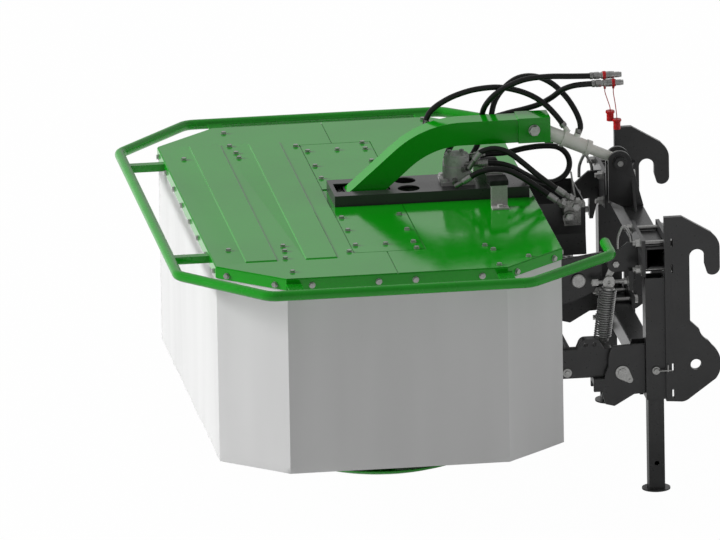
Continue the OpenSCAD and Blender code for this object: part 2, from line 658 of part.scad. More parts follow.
// Bolts round the flange, and the clamp bars that hold the curtains inside it
module curtain_fixings() color(zinc) from_row() {
    z = flange_foot + 14;
    turn = atan2(corner_w, corner_l);
    both_sides() {
        for (s = [-1, 1], x = [60, half_l - corner_l - 84])
            translate([s * x, half_w, z]) rotate([-90, 0, 0]) bolt_head(10);
        for (y = [220, 330, half_w - corner_w - 126, half_w - corner_w - 36])
            translate([half_l, y, z]) rotate([0, 90, 0]) bolt_head(9);
        for (s = [-1, 1], k = [-1, 1]) translate([s * (half_l - corner_l / 2), half_w - corner_w / 2, z])
            rotate([0, 0, -s * turn]) translate([k * 95, 0, 0]) rotate([-90, 0, 0]) bolt_head(10);
    }
    front_pitch = (half_w - corner_w - 36) / 3.5;
    for (i = [-3.5:3.5]) translate([-half_l, i * front_pitch, z]) rotate([0, -90, 0]) bolt_head(9);
    translate([0, 0, flange_foot + 2]) linear_extrude(clamp_bar_h) difference() {
        octagon_ring(sheet_t + curtain_t, sheet_t + curtain_t + 5);
        for (a = [-1, 1]) translate([a * half_l, 0]) square([40, 2 * frame_y + 120], center = true);
    }
}
rear_bracket_y = 384;
// Plates behind the deck with a round pin head
module rear_brackets() both_sides() {
    translate([0, rear_bracket_y, 0]) plate_xz(12) difference() {
        polygon([[half_l, 865], [690, 865], [742, 800], [742, 700], [715, 640], [650, 612], [600, 600],
            [half_l + 4, 610], [half_l, 640]]);
        translate([664, 680]) circle(d = 24);
    }
    bar_y(24, 664, 680, rear_bracket_y - 2, rear_bracket_y + 20);
    bar_y(44, 664, 680, rear_bracket_y + 12, rear_bracket_y + 18);
}

// Square tube frame under the deck, with the clevis plates for the lower arms
pivot_plate_t = 12;
frame_wall = 4;
rail_half = half_l - 26;
cross_x = [-half_l + 136, half_l - 66];
cross_out = half_w - 291;
module deck_frame() color(frame_grey) from_row() {
    hollow = frame_s - 2 * frame_wall;
    side = frame_y + frame_s / 2;
    both_sides() difference() {
        translate([-rail_half, frame_y - frame_s / 2, frame_foot]) cube([2 * rail_half, frame_s, frame_s]);
        translate([-rail_half - 1, frame_y - hollow / 2, frame_foot + frame_wall])
            cube([2 * rail_half + 2, hollow, hollow]);
    }
    for (x = cross_x) both_sides() difference() {
        translate([x - frame_s / 2, side, frame_foot]) cube([frame_s, cross_out - side, frame_s]);
        translate([x - hollow / 2, side + 1, frame_foot + frame_wall]) cube([hollow, cross_out - side, hollow]);
    }
    for (x = cross_x) translate([x - frame_s / 2, -frame_y + frame_s / 2, frame_foot])
        cube([frame_s, 2 * frame_y - frame_s, frame_s]);
    both_sides() for (y = [arm_y - arm_w / 2 - 2 - pivot_plate_t, arm_y + arm_w / 2 + 2])
        translate([0, y, 0]) plate_xz(pivot_plate_t) difference() {
            polygon(concat([[deck_pivot[0] - 50, frame_foot], [half_l - 16, frame_foot]],
                [[deck_pivot[0] + 34, deck_pivot[1]]], arc(deck_pivot, 34, 0, -180, 16)));
            translate(deck_pivot) circle(d = link_pin_d + 2 * run_gap);
        }
    rear_brackets();
}
// Shallow box over the belt drive, with an opening through which the gooseneck's foot enters
module centre_beam() color(frame_grey) from_row() {
    difference() {
        translate([beam_front, -beam_w / 2, deck_top]) cube([beam_rear - beam_front, beam_w, beam_h]);
        translate([beam_front + beam_t, -beam_w / 2 + beam_t, deck_top - 1])
            cube([beam_rear - beam_front - 2 * beam_t, beam_w - 2 * beam_t, beam_h - beam_t + 1]);
        for (s = [-1, 1]) translate([160, s * 48, beam_top - beam_t - 1]) cylinder(d = 72, h = beam_t + 2);
        translate([-76, -neck_w / 2 - 10, beam_top - beam_t - 1]) cube([176, neck_w + 20, beam_t + 2]);
        translate([motor_x, 0, beam_top - beam_t - 1]) cylinder(d = 44, h = beam_t + 2);
    }
    // Cross plate over the pulley, on which the gooseneck stands
    translate([-44, -beam_w / 2 + beam_t, neck_foot - 8]) cube([144, beam_w - 2 * beam_t, 8]);
}

// Gooseneck: a sloping foot in the beam, a bend and a level part that ends in the clevis
neck_rise = 228;
neck_foot = deck_top + 27;
neck_tangent = neck_bend * tan(neck_slope / 2);
neck_centre = [neck_rise + neck_tangent, neck_z - neck_bend];
function neck_edge(side) = let (up = [-sin(neck_slope), cos(neck_slope)], along = [cos(neck_slope), sin(neck_slope)],
    start = [neck_rise, neck_z] - neck_tangent * along + side * up)
    concat([start - (start[1] - neck_foot) / along[1] * along],
        arc(neck_centre, neck_bend + side, 90 + neck_slope, 90, 12), [[neck_end, neck_z + side]]);
function reversed(v) = [for (i = [len(v) - 1:-1:0]) v[i]];
module neck_band(h, w) slab_xz(w) polygon(concat(neck_edge(h / 2), reversed(neck_edge(-h / 2))));
neck_end = 524;
clevis_end = 630;
module gooseneck() color(green) from_row() {
    top = neck_z + neck_h / 2 + 4;
    low = neck_z - neck_h / 2 - 2;
    difference() {
        union() {
            neck_band(neck_h, neck_w);
            translate([neck_end, -neck_w / 2 - 6, low]) cube([clevis_end - neck_end, neck_w + 12, top - low]);
        }
        neck_band(neck_h - 2 * neck_wall, neck_w - 2 * neck_wall);
        // Clevis: closed front wall, two sides and a top
        translate([neck_end + 6, -neck_w / 2 + 6, low - 1])
            cube([clevis_end - neck_end, neck_w - 12, top - low - 7]);
        bar_y(clevis_pin_d, clevis_at[0], clevis_at[1], -neck_w, neck_w);
    }
}
module clevis_pin() color(zinc) from_row() {
    face = neck_w / 2 + 6;
    bar_y(clevis_pin_d, clevis_at[0], clevis_at[1], -face - 6, face + 20);
    bar_y(clevis_pin_d + 18, clevis_at[0], clevis_at[1], -face - 4, -face);
    translate([clevis_at[0], -face - 4, clevis_at[1]]) rotate([90, 0, 0]) hex_z(30, 12);
    translate([clevis_at[0], face, clevis_at[1]]) rotate([-90, 0, 0]) hex_z(30, 16);
    // Spacer bushes between the clevis walls and the barrel's eye
    both_sides() difference() {
        bar_y(clevis_pin_d + 12, clevis_at[0], clevis_at[1], 22.5, neck_w / 2 - 6);
        bar_y(clevis_pin_d, clevis_at[0], clevis_at[1], 20, neck_w / 2);
    }
}

// Bumper: one bent tube round the deck, open at the rear
bumper_corners = [[half_l + 154, half_w - 294], [half_l + 154, half_w - 146], [half_l - 146, bumper_side],
    [-half_l + 136, bumper_side], [-bumper_front, half_w - 176]];
function flip(v) = [for (p = reversed(v)) [p[0], -p[1]]];
// A route with each inner corner rounded to a radius
function rounded(p, r, n = 4) = [for (i = [0:len(p) - 1])
    if (i == 0 || i == len(p) - 1) p[i]
    else let (a = unit(p[i] - p[i - 1]), b = unit(p[i + 1] - p[i]), half = acos(a * b) / 2,
        c = p[i] + r / cos(half) * unit(b - a), s = p[i] - r * tan(half) * a - c,
        way = sign(a[0] * b[1] - a[1] * b[0]))
        each [for (k = [0:n]) let (g = way * 2 * half * k / n)
            c + [s[0] * cos(g) - s[1] * sin(g), s[0] * sin(g) + s[1] * cos(g)]]];
bumper_route = [for (p = rounded(concat(bumper_corners, flip(bumper_corners)), bumper_bend))
    [p[0], p[1], bumper_z]];
module bumper() color(green) from_row() {
    tube_on(bumper_route, bumper_d, 16, [0, 0, 1]);
    // Flat bars to the front of the deck, and the tabs at the sides
    both_sides() {
        translate([-bumper_front + 6, half_w - corner_w - 186, bumper_z - 12]) cube([bumper_gap - 6, 30, 24]);
        translate([0, 0, bumper_z - 3]) linear_extrude(6) {
            translate([-tab_at, half_w]) square([48, bumper_gap - 6]);
            polygon([[tab_at - 35, half_w], [tab_at, half_w], [tab_at + 14, cut_edge(tab_at + 14)],
                [tab_at + 14, bumper_side - 6], [tab_at - 35, bumper_side - 6]]);
        }
    }
}
tab_at = half_l - corner_l;
// The deck's edge along a cut corner, at a distance x from the deck's centre
function cut_edge(x) = half_w - (x - half_l + corner_l) * corner_w / corner_l;
// Curtains: flat panels that hang inside the flange

module curtain_ring() octagon_ring(sheet_t, sheet_t + curtain_t);
curtain_h = curtain_top - curtain_foot;
side_cut = half_w - corner_w - 8;
module front_curtain() color(cloth) from_row() translate([0, 0, curtain_foot]) linear_extrude(curtain_h)
    intersection() {
        curtain_ring();
        translate([-half_l, -side_cut]) square([60, 2 * side_cut]);
    }
module side_curtain() translate([0, 0, curtain_foot]) linear_extrude(curtain_h) intersection() {
    curtain_ring();
    translate([-half_l, side_cut + 1]) square([2 * half_l, half_w]);
}
module right_curtain() color(cloth) from_row() side_curtain();
module left_curtain() color(cloth) from_row() mirror([0, 1, 0]) side_curtain();
// The rear curtain is slit for the two arms
arm_slot = [arm_y - 42, arm_y + 42];
module rear_curtain() color(cloth) from_row() translate([half_l - sheet_t - curtain_t, 0, 0])
    rotate([90, 0, 90]) linear_extrude(curtain_t) difference() {
        translate([-side_cut, curtain_foot]) square([2 * side_cut, curtain_h]);
        for (s = [-1, 1]) translate([s > 0 ? arm_slot[0] : -arm_slot[1], curtain_foot - 1])
            square([arm_slot[1] - arm_slot[0], 560 - curtain_foot]);
    }

// Drive

module gear_housing() color(dark_green) from_row() difference() {
    union() {
        translate([0, 0, housing_foot]) linear_extrude(housing_h) hull()
            for (s = [-1, 1]) translate([0, s * drum_y]) circle(r = 100);
        cylinder_at(0, 0, frame_foot, 60, frame_s - 24);
    }
    for (s = [-1, 1]) cylinder_at(0, s * drum_y, housing_foot - 1, 96, 41);
    for (s = [-1, 1]) cylinder_at(0, s * drum_y, housing_foot, shaft_d + 4, 56);
    cylinder_at(0, 0, frame_foot - 40, 30 + 2 * run_gap, 120);
}
module cylinder_at(x, y, z, d, h) translate([x, y, z]) cylinder(d = d, h = h);
module drum_bearings() color(zinc) from_row() for (s = [-1, 1]) difference() {
    cylinder_at(0, s * drum_y, housing_foot + 2, 96, 30);
    cylinder_at(0, s * drum_y, housing_foot, shaft_d + 2 * run_gap, 40);
}
// A grooved pulley for two belts, on z = 0
belt_w = 13;
belt_t = 9;
module pulley_profile(d) difference() {
    square([d / 2, pulley_h]);
    for (z = [pulley_h / 4, 3 * pulley_h / 4]) translate([d / 2, z])
        polygon([[1, -belt_w / 2 - 0.3], [-belt_t - 2, -belt_w / 3], [-belt_t - 2, belt_w / 3], [1, belt_w / 2 + 0.3]]);
}
module pulley(d) rotate_extrude($fn = 96) pulley_profile(d);
pulley_z = belt_mid - pulley_h / 2 - 4;
module motor_pulley() color(zinc) from_row() translate([motor_x, 0, pulley_z]) {
    pulley(motor_pulley_d);
    translate([0, 0, pulley_h]) cylinder(d = 28, h = beam_top - pulley_z - pulley_h + 8);
}
module input_pulley() color(zinc) from_row() translate([0, 0, pulley_z]) {
    pulley(input_pulley_d);
    translate([0, 0, -40]) cylinder(d = 30, h = 40);
}
// Belts: an open loop round both pulleys, seated just clear of the grooves
module belt_loop(r0, r1) hull() {
    circle(r = r0, $fn = 96);
    translate([motor_x, 0]) circle(r = r1, $fn = 96);
}
module drive_belts() color(hose_black) from_row() for (z = [pulley_h / 4, 3 * pulley_h / 4])
    translate([0, 0, pulley_z + z - belt_w / 4]) linear_extrude(belt_w / 2) difference() {
        belt_loop(input_pulley_d / 2 - 1, motor_pulley_d / 2 - 1);
        belt_loop(input_pulley_d / 2 - belt_t - 1, motor_pulley_d / 2 - belt_t - 1);
    }

// Drum of three turned pieces: shaft, shell with its top plate, and cutter disc with the knives' pins
module drum() {
    r = drum_d / 2;
    shaft = shaft_d / 2;
    seat = disc_z + disc_t + bolted_gap;
    cylinder_at(0, 0, shaft_foot, shaft_d, shaft_top - shaft_foot);
    rotate_extrude($fn = 96) polygon([[shaft + bolted_gap, drum_top - 16], [r - shell_t, drum_top - 16],
        [r - shell_t, seat], [r + 30, seat], [r, disc_z + 40], [r, drum_top - 22], [r - 16, drum_top - 6],
        [shaft + 14, drum_top], [shaft + bolted_gap, drum_top]]);
    rotate_extrude($fn = 96) polygon([[r - shell_t, disc_z], [disc_d / 2, disc_z],
        [disc_d / 2, disc_z + disc_t - 2], [disc_d / 2 - 60, disc_z + disc_t], [r - shell_t, disc_z + disc_t]]);
    for (k = [0:2]) rotate(120 * k) {
        cylinder_at(knife_r, 0, knife_z - 8, knife_pin_d, disc_z + 2 - knife_z + 8);
        cylinder_at(knife_r, 0, knife_z - 8, knife_pin_d + 12, 7);
    }
}
shell_t = 5;
bolted_gap = 0.1;
shaft_foot = saucer_foot + 16;
shaft_top = housing_foot + 50;
knife_pin_d = 18;
module right_drum() color(green) from_row() translate([0, drum_y, 0]) drum();
module left_drum() color(green) from_row() translate([0, -drum_y, 0]) rotate(60) drum();
// Saucer: a shallow dish, and on it the hub that turns on the drum's shaft
module saucer() {
    r = saucer_d / 2;
    z = saucer_foot;
    bore = shaft_d / 2 + run_gap;
    seat = z + 6 + bolted_gap;
    rotate_extrude($fn = 96) polygon([[0, z], [r - 130, z], [r - 50, z + 10], [r - 8, z + 30], [r, z + 40],
        [r - 6, z + 40], [r - 14, z + 34], [r - 52, z + 15], [r - 130, z + 6], [0, z + 6]]);
    rotate_extrude($fn = 96) polygon([[0, seat], [bore + 40, seat], [bore + 22, z + 24],
        [bore + 22, disc_z - 14], [bore, disc_z - 14], [bore, shaft_foot - 1], [0, shaft_foot - 1]]);
}
module right_saucer() color(green) from_row() translate([0, drum_y, 0]) saucer();
module left_saucer() color(green) from_row() translate([0, -drum_y, 0]) saucer();
// Knife number k of a drum, hung on its pin
module knife(k) rotate(120 * k) translate([knife_r, 0, knife_z]) linear_extrude(knife_t) difference() {
    polygon([[-20, -knife_w / 2 + 8], [-12, -knife_w / 2], [knife_l - 34, -knife_w / 2],
        [knife_l - 24, -knife_w / 2 + 8], [knife_l - 24, knife_w / 2], [-12, knife_w / 2],
        [-20, knife_w / 2 - 8]]);
    circle(d = knife_pin_d + 2 * run_gap);
}
module right_knife(k) color(zinc) from_row() translate([0, drum_y, 0]) knife(k);
module left_knife(k) color(zinc) from_row() translate([0, -drum_y, 0]) rotate(60) knife(k);

// Hydraulics

motor_foot = beam_top;
motor_foot_l = 110;
module motor_body() {
    translate([-motor_foot_l / 2, -50, 0]) cube([motor_foot_l, 100, 12]);
    translate([0, 0, 11]) cylinder(d = motor_d, h = 47);
    translate([0, 0, 57]) cylinder(d = motor_d - 10, h = 31);
    translate([0, 0, 87]) cylinder(d = motor_d - 16, h = 9);
    for (x = [-44, 44], y = [-39, 39]) translate([x, y, 11]) bolt_head(12);
    for (a = [45:90:315]) rotate(a) translate([28, 0, 95]) hex_z(13, 8);
}
module motor() color(zinc) from_row() translate([motor_x, 0, motor_foot]) difference() {
    motor_body();
    translate([0, 0, -1]) cylinder(d = 30, h = 10);
}
// The strap stands a gap behind the motor's foot
strap_x = motor_x + motor_foot_l / 2 + 28;
strap_w = 54;
strap_in = 204;
strap_t = 6;
strap_top = 974;
module hose_strap() color(zinc) from_row() {
    foot = deck_top + cover_t;
    translate([strap_x, 0, 0]) rotate([90, 0, 90]) linear_extrude(strap_w) difference() {
        translate([-strap_in - strap_t, foot]) square([2 * (strap_in + strap_t), strap_top - foot]);
        translate([-strap_in, foot - 1]) square([2 * strap_in, strap_top - strap_t - foot + 1]);
    }
    both_sides() {
        translate([strap_x, strap_in + strap_t, foot]) cube([strap_w, 34, strap_t]);
        translate([strap_x + strap_w / 2, strap_in + strap_t + 18, foot + strap_t]) bolt_head(10);
    }
}
module rear_guard() color(frame_grey) from_row() {
    y = 150;
    both_sides() translate([half_l, y - 4, 0]) rotate([90, 0, 90]) linear_extrude(160)
        polygon([[0, 872], [4, 872], [4, 768], [16, 700], [12, 700], [0, 767]]);
    translate([half_l + 156, -y, 700]) cube([4, 2 * y, 172]);
}

// Hose routes, as round places from the deck centre
supply_a = [[777, -20, 1262], [757, -20, 1262], [700, -19, 1264], [630, -12, 1265], [560, 0, 1257], [510, 13, 1237],
    [468, 28, 1209], [440, 42, 1178], [424, 58, 1144], [420, 72, 1106], [418, 80, 1066], [410, 84, 1028],
    [392, 80, 994], [370, 74, 968], [344, 68, 948]];
supply_b = [[781, -34, 1239], [756, -34, 1239], [710, -24, 1233], [676, 6, 1212], [646, 36, 1180],
    [608, 62, 1152], [565, 82, 1134], [515, 102, 1118], [465, 118, 1100], [415, 124, 1080],
    [365, 118, 1054], [328, 102, 1024], [306, 86, 992], [300, 76, 960]];
barrel_feed = [[236, 75, 1092], [236, 75, 1112], [256, 76, 1147], [310, 74, 1183], [370, 68, 1206],
    [420, 62, 1216], [475, 54, 1219], [530, 42, 1210], [580, 28, 1192], [622, 14, 1164], [660, 5, 1122],
    [682, 0, 1090]];
barrel_return = [[450, 60, 1096], [450, 60, 1120], [466, 77, 1168], [500, 90, 1208], [546, 95, 1236],
    [600, 88, 1240], [650, 72, 1220], [690, 46, 1184], [714, 26, 1150], [731, 9, 1112], [735, 0, 1083],
    [727, 0, 1065.5]];
motor_feed = [[373, -76, 1014], [382, -78, 1029], [400, -81, 1044], [440, -86, 1052], [485, -94, 1038],
    [525, -106, 1008], [570, -126, 970], [615, -148, 936], [658, -164, 906]];
motor_return = [[332, -94, 948], [352, -101, 962], [382, -107, 980], [430, -111, 990], [480, -116, 983],
    [535, -132, 954], [585, -154, 921], [630, -175, 889]];
bypass_route = [[390, 36, 998], [440, 56, 995], [500, 72, 992], [560, 76, 1002], [620, 71, 1008],
    [668, 66, 1003], [696, 64, 980], [706, 62, 948], [696, 56, 918], [668, 44, 899], [630, 26, 896],
    [590, 5, 913], [545, -19, 943], [500, -38, 974], [450, -42, 990], [390, -34, 989]];
module hose(route) tube_on(route, hose_d, 8, [0.02, 1, 0.01]);
module supply_hoses() color(hose_black) from_row() {
    hose(supply_a);
    hose(supply_b);
}
module cylinder_hoses() color(hose_black) from_row() {
    hose(barrel_feed);
    hose(barrel_return);
}
module motor_hoses() color(hose_black) from_row() {
    hose(motor_feed);
    hose(motor_return);
}
module bypass_hose() color(hose_black) from_row() hose(bypass_route);
// A hose's tail piece, in line with one end of its route and a gap away from it
module hose_tail(route, last, d, l, gap = 0) {
    end = last ? route[len(route) - 1] : route[0];
    next = last ? route[len(route) - 2] : route[1];
    rod_between(end - l * unit(next - end), end - gap * unit(next - end), d);
}
module hydraulic_fittings() color(zinc) from_row() {
    // Ports on the far side of the gooseneck
    translate([222, neck_w / 2, 1058]) cube([28, 46, 22]);
    translate([236, 75, 1079]) cylinder(d = 16, h = 13);
    translate([436, neck_w / 2, 1058]) cube([28, 34, 22]);
    translate([450, 60, 1079]) cylinder(d = 16, h = 17);
    // Elbows on the motor
    difference() {
        union() {
            rod_between([335, -20, 966], [350, -66, 984], 20);
            hose_tail(motor_feed, false, 17, 34);
            rod_between([315, -20, 940], [311, -70, 938], 20);
            hose_tail(motor_return, false, 17, 30);
            rod_between([330, 20, 950], [328, 66, 946], 20);
            hose_tail(supply_a, true, 16, 24);
            rod_between([300, 20, 946], [300, 80, 943], 20);
            hose_tail(supply_b, true, 16, 16);
            hose_tail(bypass_route, false, 17, 52);
            hose_tail(bypass_route, true, 17, 52);
        }
        translate([motor_x, 0, motor_foot]) motor_body();
    }
    // Valve block with its round plug, hose tails and lever
    translate([650, -184, 806]) cube([56, 34, 84]);
    bar_y(46, 668, 834, -196, -180);
    bar_y(26, 668, 834, -204, -190);
    hose_tail(motor_feed, true, 19, 30);
    hose_tail(motor_return, true, 19, 34);
    translate([702, -169, 872]) rotate([0, 90, 0]) hex_z(24, 18);
    translate([690, -160, 884]) rotate([0, -8, 0]) cube([5, 10, 96]);
}
module coupler(at) translate(at) rotate([0, 90, 0]) {
    cylinder(d = coupler_d - 4, h = 26);
    translate([0, 0, 26]) cylinder(d = coupler_d, h = coupler_l - 52);
    translate([0, 0, coupler_l - 26]) cylinder(d = coupler_d - 6, h = 26);
}
module quick_couplers() color(zinc) from_row() {
    coupler(supply_a[0]);
    coupler(supply_b[0]);
    // Stubs that the caps' cords hang from
    for (r = cap_cord_routes) translate(r[0]) cylinder(d = 8, h = 18);
}
cap_cord_d = 3;
cap_places = [[826, -50, 1116], [846, -62, 1090]];
cap_cord_routes = [[[812, -34, 1220], [812, -34, 1210], [819, -42, 1185], [826, -50, 1160], [826, -50, 1150]],
    [[840, -34, 1220], [840, -34, 1205], [843, -48, 1175], [846, -62, 1135], [846, -62, 1124]]];
module cap(at) translate(at) {
    cylinder(d = 24, h = 26);
    translate([0, 0, 26]) cylinder(d = 30, h = 8);
}
module dust_caps() color(cap_red) from_row() {
    for (c = cap_places) cap(c);
}
// Thin cords from a ring on each coupler down to its cap
module cap_cords() color(cap_red) from_row() for (i = [0, 1]) tube_on(cap_cord_routes[i], cap_cord_d, 8, [0.02, 1, 0]);

upper_cross_tube();
lower_cross_tube();
leg_sleeves();
left_hook_plate();
right_hook_plate();
clamp_plates();
clamp_bolts();
tower();
frame_pins();
pivot_brackets();
spring_brackets();
spring_anchors();
parking_legs();
left_spring();
right_spring();
left_leg_pin();
right_leg_pin();
lower_arms();
arm_pins();
cylinder_barrel();
cylinder_rod();
deck_pan();
deck_covers();
cover_bolts();
curtain_fixings();
deck_frame();
centre_beam();
gooseneck();
clevis_pin();
bumper();
front_curtain();
left_curtain();
right_curtain();
rear_curtain();
gear_housing();
drum_bearings();
motor();
hose_strap();
rear_guard();
hydraulic_fittings();
drive_belts();
supply_hoses();
cylinder_hoses();
motor_hoses();
bypass_hose();
quick_couplers();
dust_caps();
cap_cords();
motor_pulley();
input_pulley();
left_drum();
right_drum();
left_saucer();
right_saucer();
left_knife(0);  // left_knife_1
left_knife(1);  // left_knife_2
left_knife(2);  // left_knife_3
right_knife(0);  // right_knife_1
right_knife(1);  // right_knife_2
right_knife(2);  // right_knife_3
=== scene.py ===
import bpy
import bmesh
import json
import math
from mathutils import Vector, Matrix


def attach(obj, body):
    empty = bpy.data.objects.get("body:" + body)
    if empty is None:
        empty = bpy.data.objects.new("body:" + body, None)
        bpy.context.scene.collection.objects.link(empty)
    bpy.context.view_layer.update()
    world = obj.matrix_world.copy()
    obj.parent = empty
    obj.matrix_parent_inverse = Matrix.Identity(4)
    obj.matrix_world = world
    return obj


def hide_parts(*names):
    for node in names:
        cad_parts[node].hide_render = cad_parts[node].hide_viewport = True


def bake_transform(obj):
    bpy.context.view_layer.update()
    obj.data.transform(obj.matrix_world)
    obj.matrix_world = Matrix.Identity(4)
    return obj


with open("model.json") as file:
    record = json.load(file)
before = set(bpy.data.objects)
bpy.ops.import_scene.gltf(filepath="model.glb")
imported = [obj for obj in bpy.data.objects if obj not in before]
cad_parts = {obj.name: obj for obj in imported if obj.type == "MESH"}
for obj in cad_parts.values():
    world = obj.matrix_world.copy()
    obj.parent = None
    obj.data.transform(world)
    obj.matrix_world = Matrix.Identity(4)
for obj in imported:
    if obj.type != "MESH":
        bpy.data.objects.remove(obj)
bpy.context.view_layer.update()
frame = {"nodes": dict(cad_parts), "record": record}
print("frame loaded:", len(frame["nodes"]), "nodes")

# Places are in mm from the deck's centre, as in the part's source; the frame is in metres and centred
# on the whole outline, so the deck's centre lies this far along X
deckShift = -0.199075


def at(x, y, z):
    return Vector((x / 1000 + deckShift, y / 1000, z / 1000))


# Camera and studio

cameraSettings = {
    "focus": (2, 0, 641),
    "back": (-0.1279, -0.9530, 0.2758),  # from the part towards the camera
    "right": (0.9905, -0.1376, -0.0163),
    "distance": 80.0,  # far away, because the photograph has almost no perspective
    "pictureWidth": 2.348,  # metres across the picture, at the focus
    "sensorWidth": 36,
    "clipStart": 0.5,
}
studio = {
    "backdrop": (1.0, 1.0, 1.0),
    "skyDiffuse": 0.212,
    "skyGlossyBehind": 0.60,
    "skyGlossyInFront": 0.30,
    "keyStrength": 3.10,
    "keyFrom": (-1.0, 0.20, 0.42),
    "keyAngle": 24,
    "fillStrength": 0.52,
    "fillFrom": (1.0, -0.35, 0.35),
    "fillAngle": 60,
    "floorShade": 0.92,
    "floorGlow": 0.985,
    "floorMirrored": 0.75,
    "floorHalf": 60,
    "floorLevel": -0.001,
    "skySpan": (-0.6, 0.6),  # directions along Y over which the mirrored sky brightens
    "floorSpan": (-1.0, 1.5),  # places along Y over which the mirrored floor brightens
}


def linkNew(obj):
    bpy.context.scene.collection.objects.link(obj)
    return obj


def makeCamera(s):
    data = bpy.data.cameras.new("camera")
    data.sensor_width = s["sensorWidth"]
    data.lens = s["sensorWidth"] * s["distance"] / s["pictureWidth"]
    data.clip_start = s["clipStart"]
    data.clip_end = s["distance"] * 2
    cam = linkNew(bpy.data.objects.new("camera", data))
    back = Vector(s["back"]).normalized()
    right = Vector(s["right"])
    right = (right - right.dot(back) * back).normalized()
    up = back.cross(right)
    turn = Matrix((right, up, back)).transposed().to_4x4()
    cam.matrix_world = Matrix.Translation(at(*s["focus"]) + back * s["distance"]) @ turn
    bpy.context.scene.camera = cam


def makeLamp(name, strength, source, angle):
    data = bpy.data.lights.new(name, "SUN")
    data.energy = strength
    data.angle = math.radians(angle)
    lamp = linkNew(bpy.data.objects.new(name, data))
    lamp.rotation_mode = "QUATERNION"
    lamp.rotation_quaternion = Vector(source).to_track_quat("Z", "Y")
    lamp.visible_glossy = False


def depthShare(nodes, links, vector, span, values):
    # A value that runs from front to back, along Y
    split = nodes.new("ShaderNodeSeparateXYZ")
    links.new(vector, split.inputs[0])
    share = nodes.new("ShaderNodeMapRange")
    share.inputs["From Min"].default_value, share.inputs["From Max"].default_value = span
    share.inputs["To Min"].default_value, share.inputs["To Max"].default_value = values
    links.new(split.outputs["Y"], share.inputs["Value"])
    return share.outputs["Result"]


def mathNode(nodes, links, operation, first, second):
    node = nodes.new("ShaderNodeMath")
    node.operation = operation
    links.new(first, node.inputs[0])
    if isinstance(second, float):
        node.inputs[1].default_value = second
    else:
        links.new(second, node.inputs[1])
    return node.outputs[0]


def makeSky(s):
    # Camera and transmission rays see the white backdrop; glossy rays a sky that is darker in front
    world = bpy.data.worlds.new("studioSky")
    bpy.context.scene.world = world
    world.use_nodes = True
    nodes, links = world.node_tree.nodes, world.node_tree.links
    sky = nodes["Background"]
    sky.inputs["Color"].default_value = (*s["backdrop"], 1)
    rays = nodes.new("ShaderNodeLightPath").outputs
    coords = nodes.new("ShaderNodeTexCoord")
    mirrored = depthShare(nodes, links, coords.outputs["Generated"], s["skySpan"],
                          (s["skyGlossyInFront"], s["skyGlossyBehind"]))
    seen = mathNode(nodes, links, "MAXIMUM", rays["Is Camera Ray"], rays["Is Transmission Ray"])
    glossy = mathNode(nodes, links, "MULTIPLY", rays["Is Glossy Ray"], mirrored)
    matt = mathNode(nodes, links, "MULTIPLY", rays["Is Diffuse Ray"], s["skyDiffuse"])
    lit = mathNode(nodes, links, "ADD", glossy, matt)
    links.new(mathNode(nodes, links, "MAXIMUM", seen, lit), sky.inputs["Strength"])


def makeFloor(s):
    # Pale floor that keeps the part's shadow; in reflections it is pale behind the part only
    half, level = s["floorHalf"], s["floorLevel"]
    mesh = bpy.data.meshes.new("floor")
    mesh.from_pydata([(-half, -half, level), (half, -half, level), (half, half, level), (-half, half, level)],
                     [], [(0, 1, 2, 3)])
    floor = linkNew(bpy.data.objects.new("floor", mesh))
    mat = bpy.data.materials.new("paleFloor")
    mat.use_nodes = True
    nodes, links = mat.node_tree.nodes, mat.node_tree.links
    nodes.clear()
    out = nodes.new("ShaderNodeOutputMaterial")
    matt = nodes.new("ShaderNodeBsdfDiffuse")
    matt.inputs["Color"].default_value = (s["floorShade"], s["floorShade"], s["floorShade"], 1)
    glow = nodes.new("ShaderNodeEmission")
    glow.inputs["Color"].default_value = (*s["backdrop"], 1)
    rays = nodes.new("ShaderNodeLightPath").outputs
    where = nodes.new("ShaderNodeNewGeometry")
    behind = depthShare(nodes, links, where.outputs["Position"], s["floorSpan"], (0.0, s["floorMirrored"]))
    seen = mathNode(nodes, links, "MULTIPLY", rays["Is Camera Ray"], s["floorGlow"])
    mirrored = mathNode(nodes, links, "MULTIPLY", rays["Is Glossy Ray"], behind)
    mix = nodes.new("ShaderNodeMixShader")
    links.new(mathNode(nodes, links, "MAXIMUM", seen, mirrored), mix.inputs[0])
    links.new(matt.outputs[0], mix.inputs[1])
    links.new(glow.outputs[0], mix.inputs[2])
    links.new(mix.outputs[0], out.inputs["Surface"])
    mesh.materials.append(mat)


bpy.context.scene.view_settings.view_transform = "Standard"
makeCamera(cameraSettings)
makeLamp("keyLamp", studio["keyStrength"], studio["keyFrom"], studio["keyAngle"])
makeLamp("fillLamp", studio["fillStrength"], studio["fillFrom"], studio["fillAngle"])
makeSky(studio)
makeFloor(studio)
print("camera and studio ready")

# Materials

noiseSpan = (0.3, 0.7)  # where nearly all of a noise's values lie


def newMaterial(name):
    mat = bpy.data.materials.new(name)
    mat.use_nodes = True
    return mat, mat.node_tree.nodes, mat.node_tree.links, mat.node_tree.nodes["Principled BSDF"]


def noiseField(nodes, links, scale, detail=3.0, stretch=(1, 1, 1)):
    coords = nodes.new("ShaderNodeTexCoord")
    mapping = nodes.new("ShaderNodeMapping")
    mapping.inputs["Scale"].default_value = stretch
    links.new(coords.outputs["Object"], mapping.inputs["Vector"])
    noise = nodes.new("ShaderNodeTexNoise")
    noise.inputs["Scale"].default_value = scale
    noise.inputs["Detail"].default_value = detail
    links.new(mapping.outputs[0], noise.inputs["Vector"])
    return noise.outputs["Fac"]


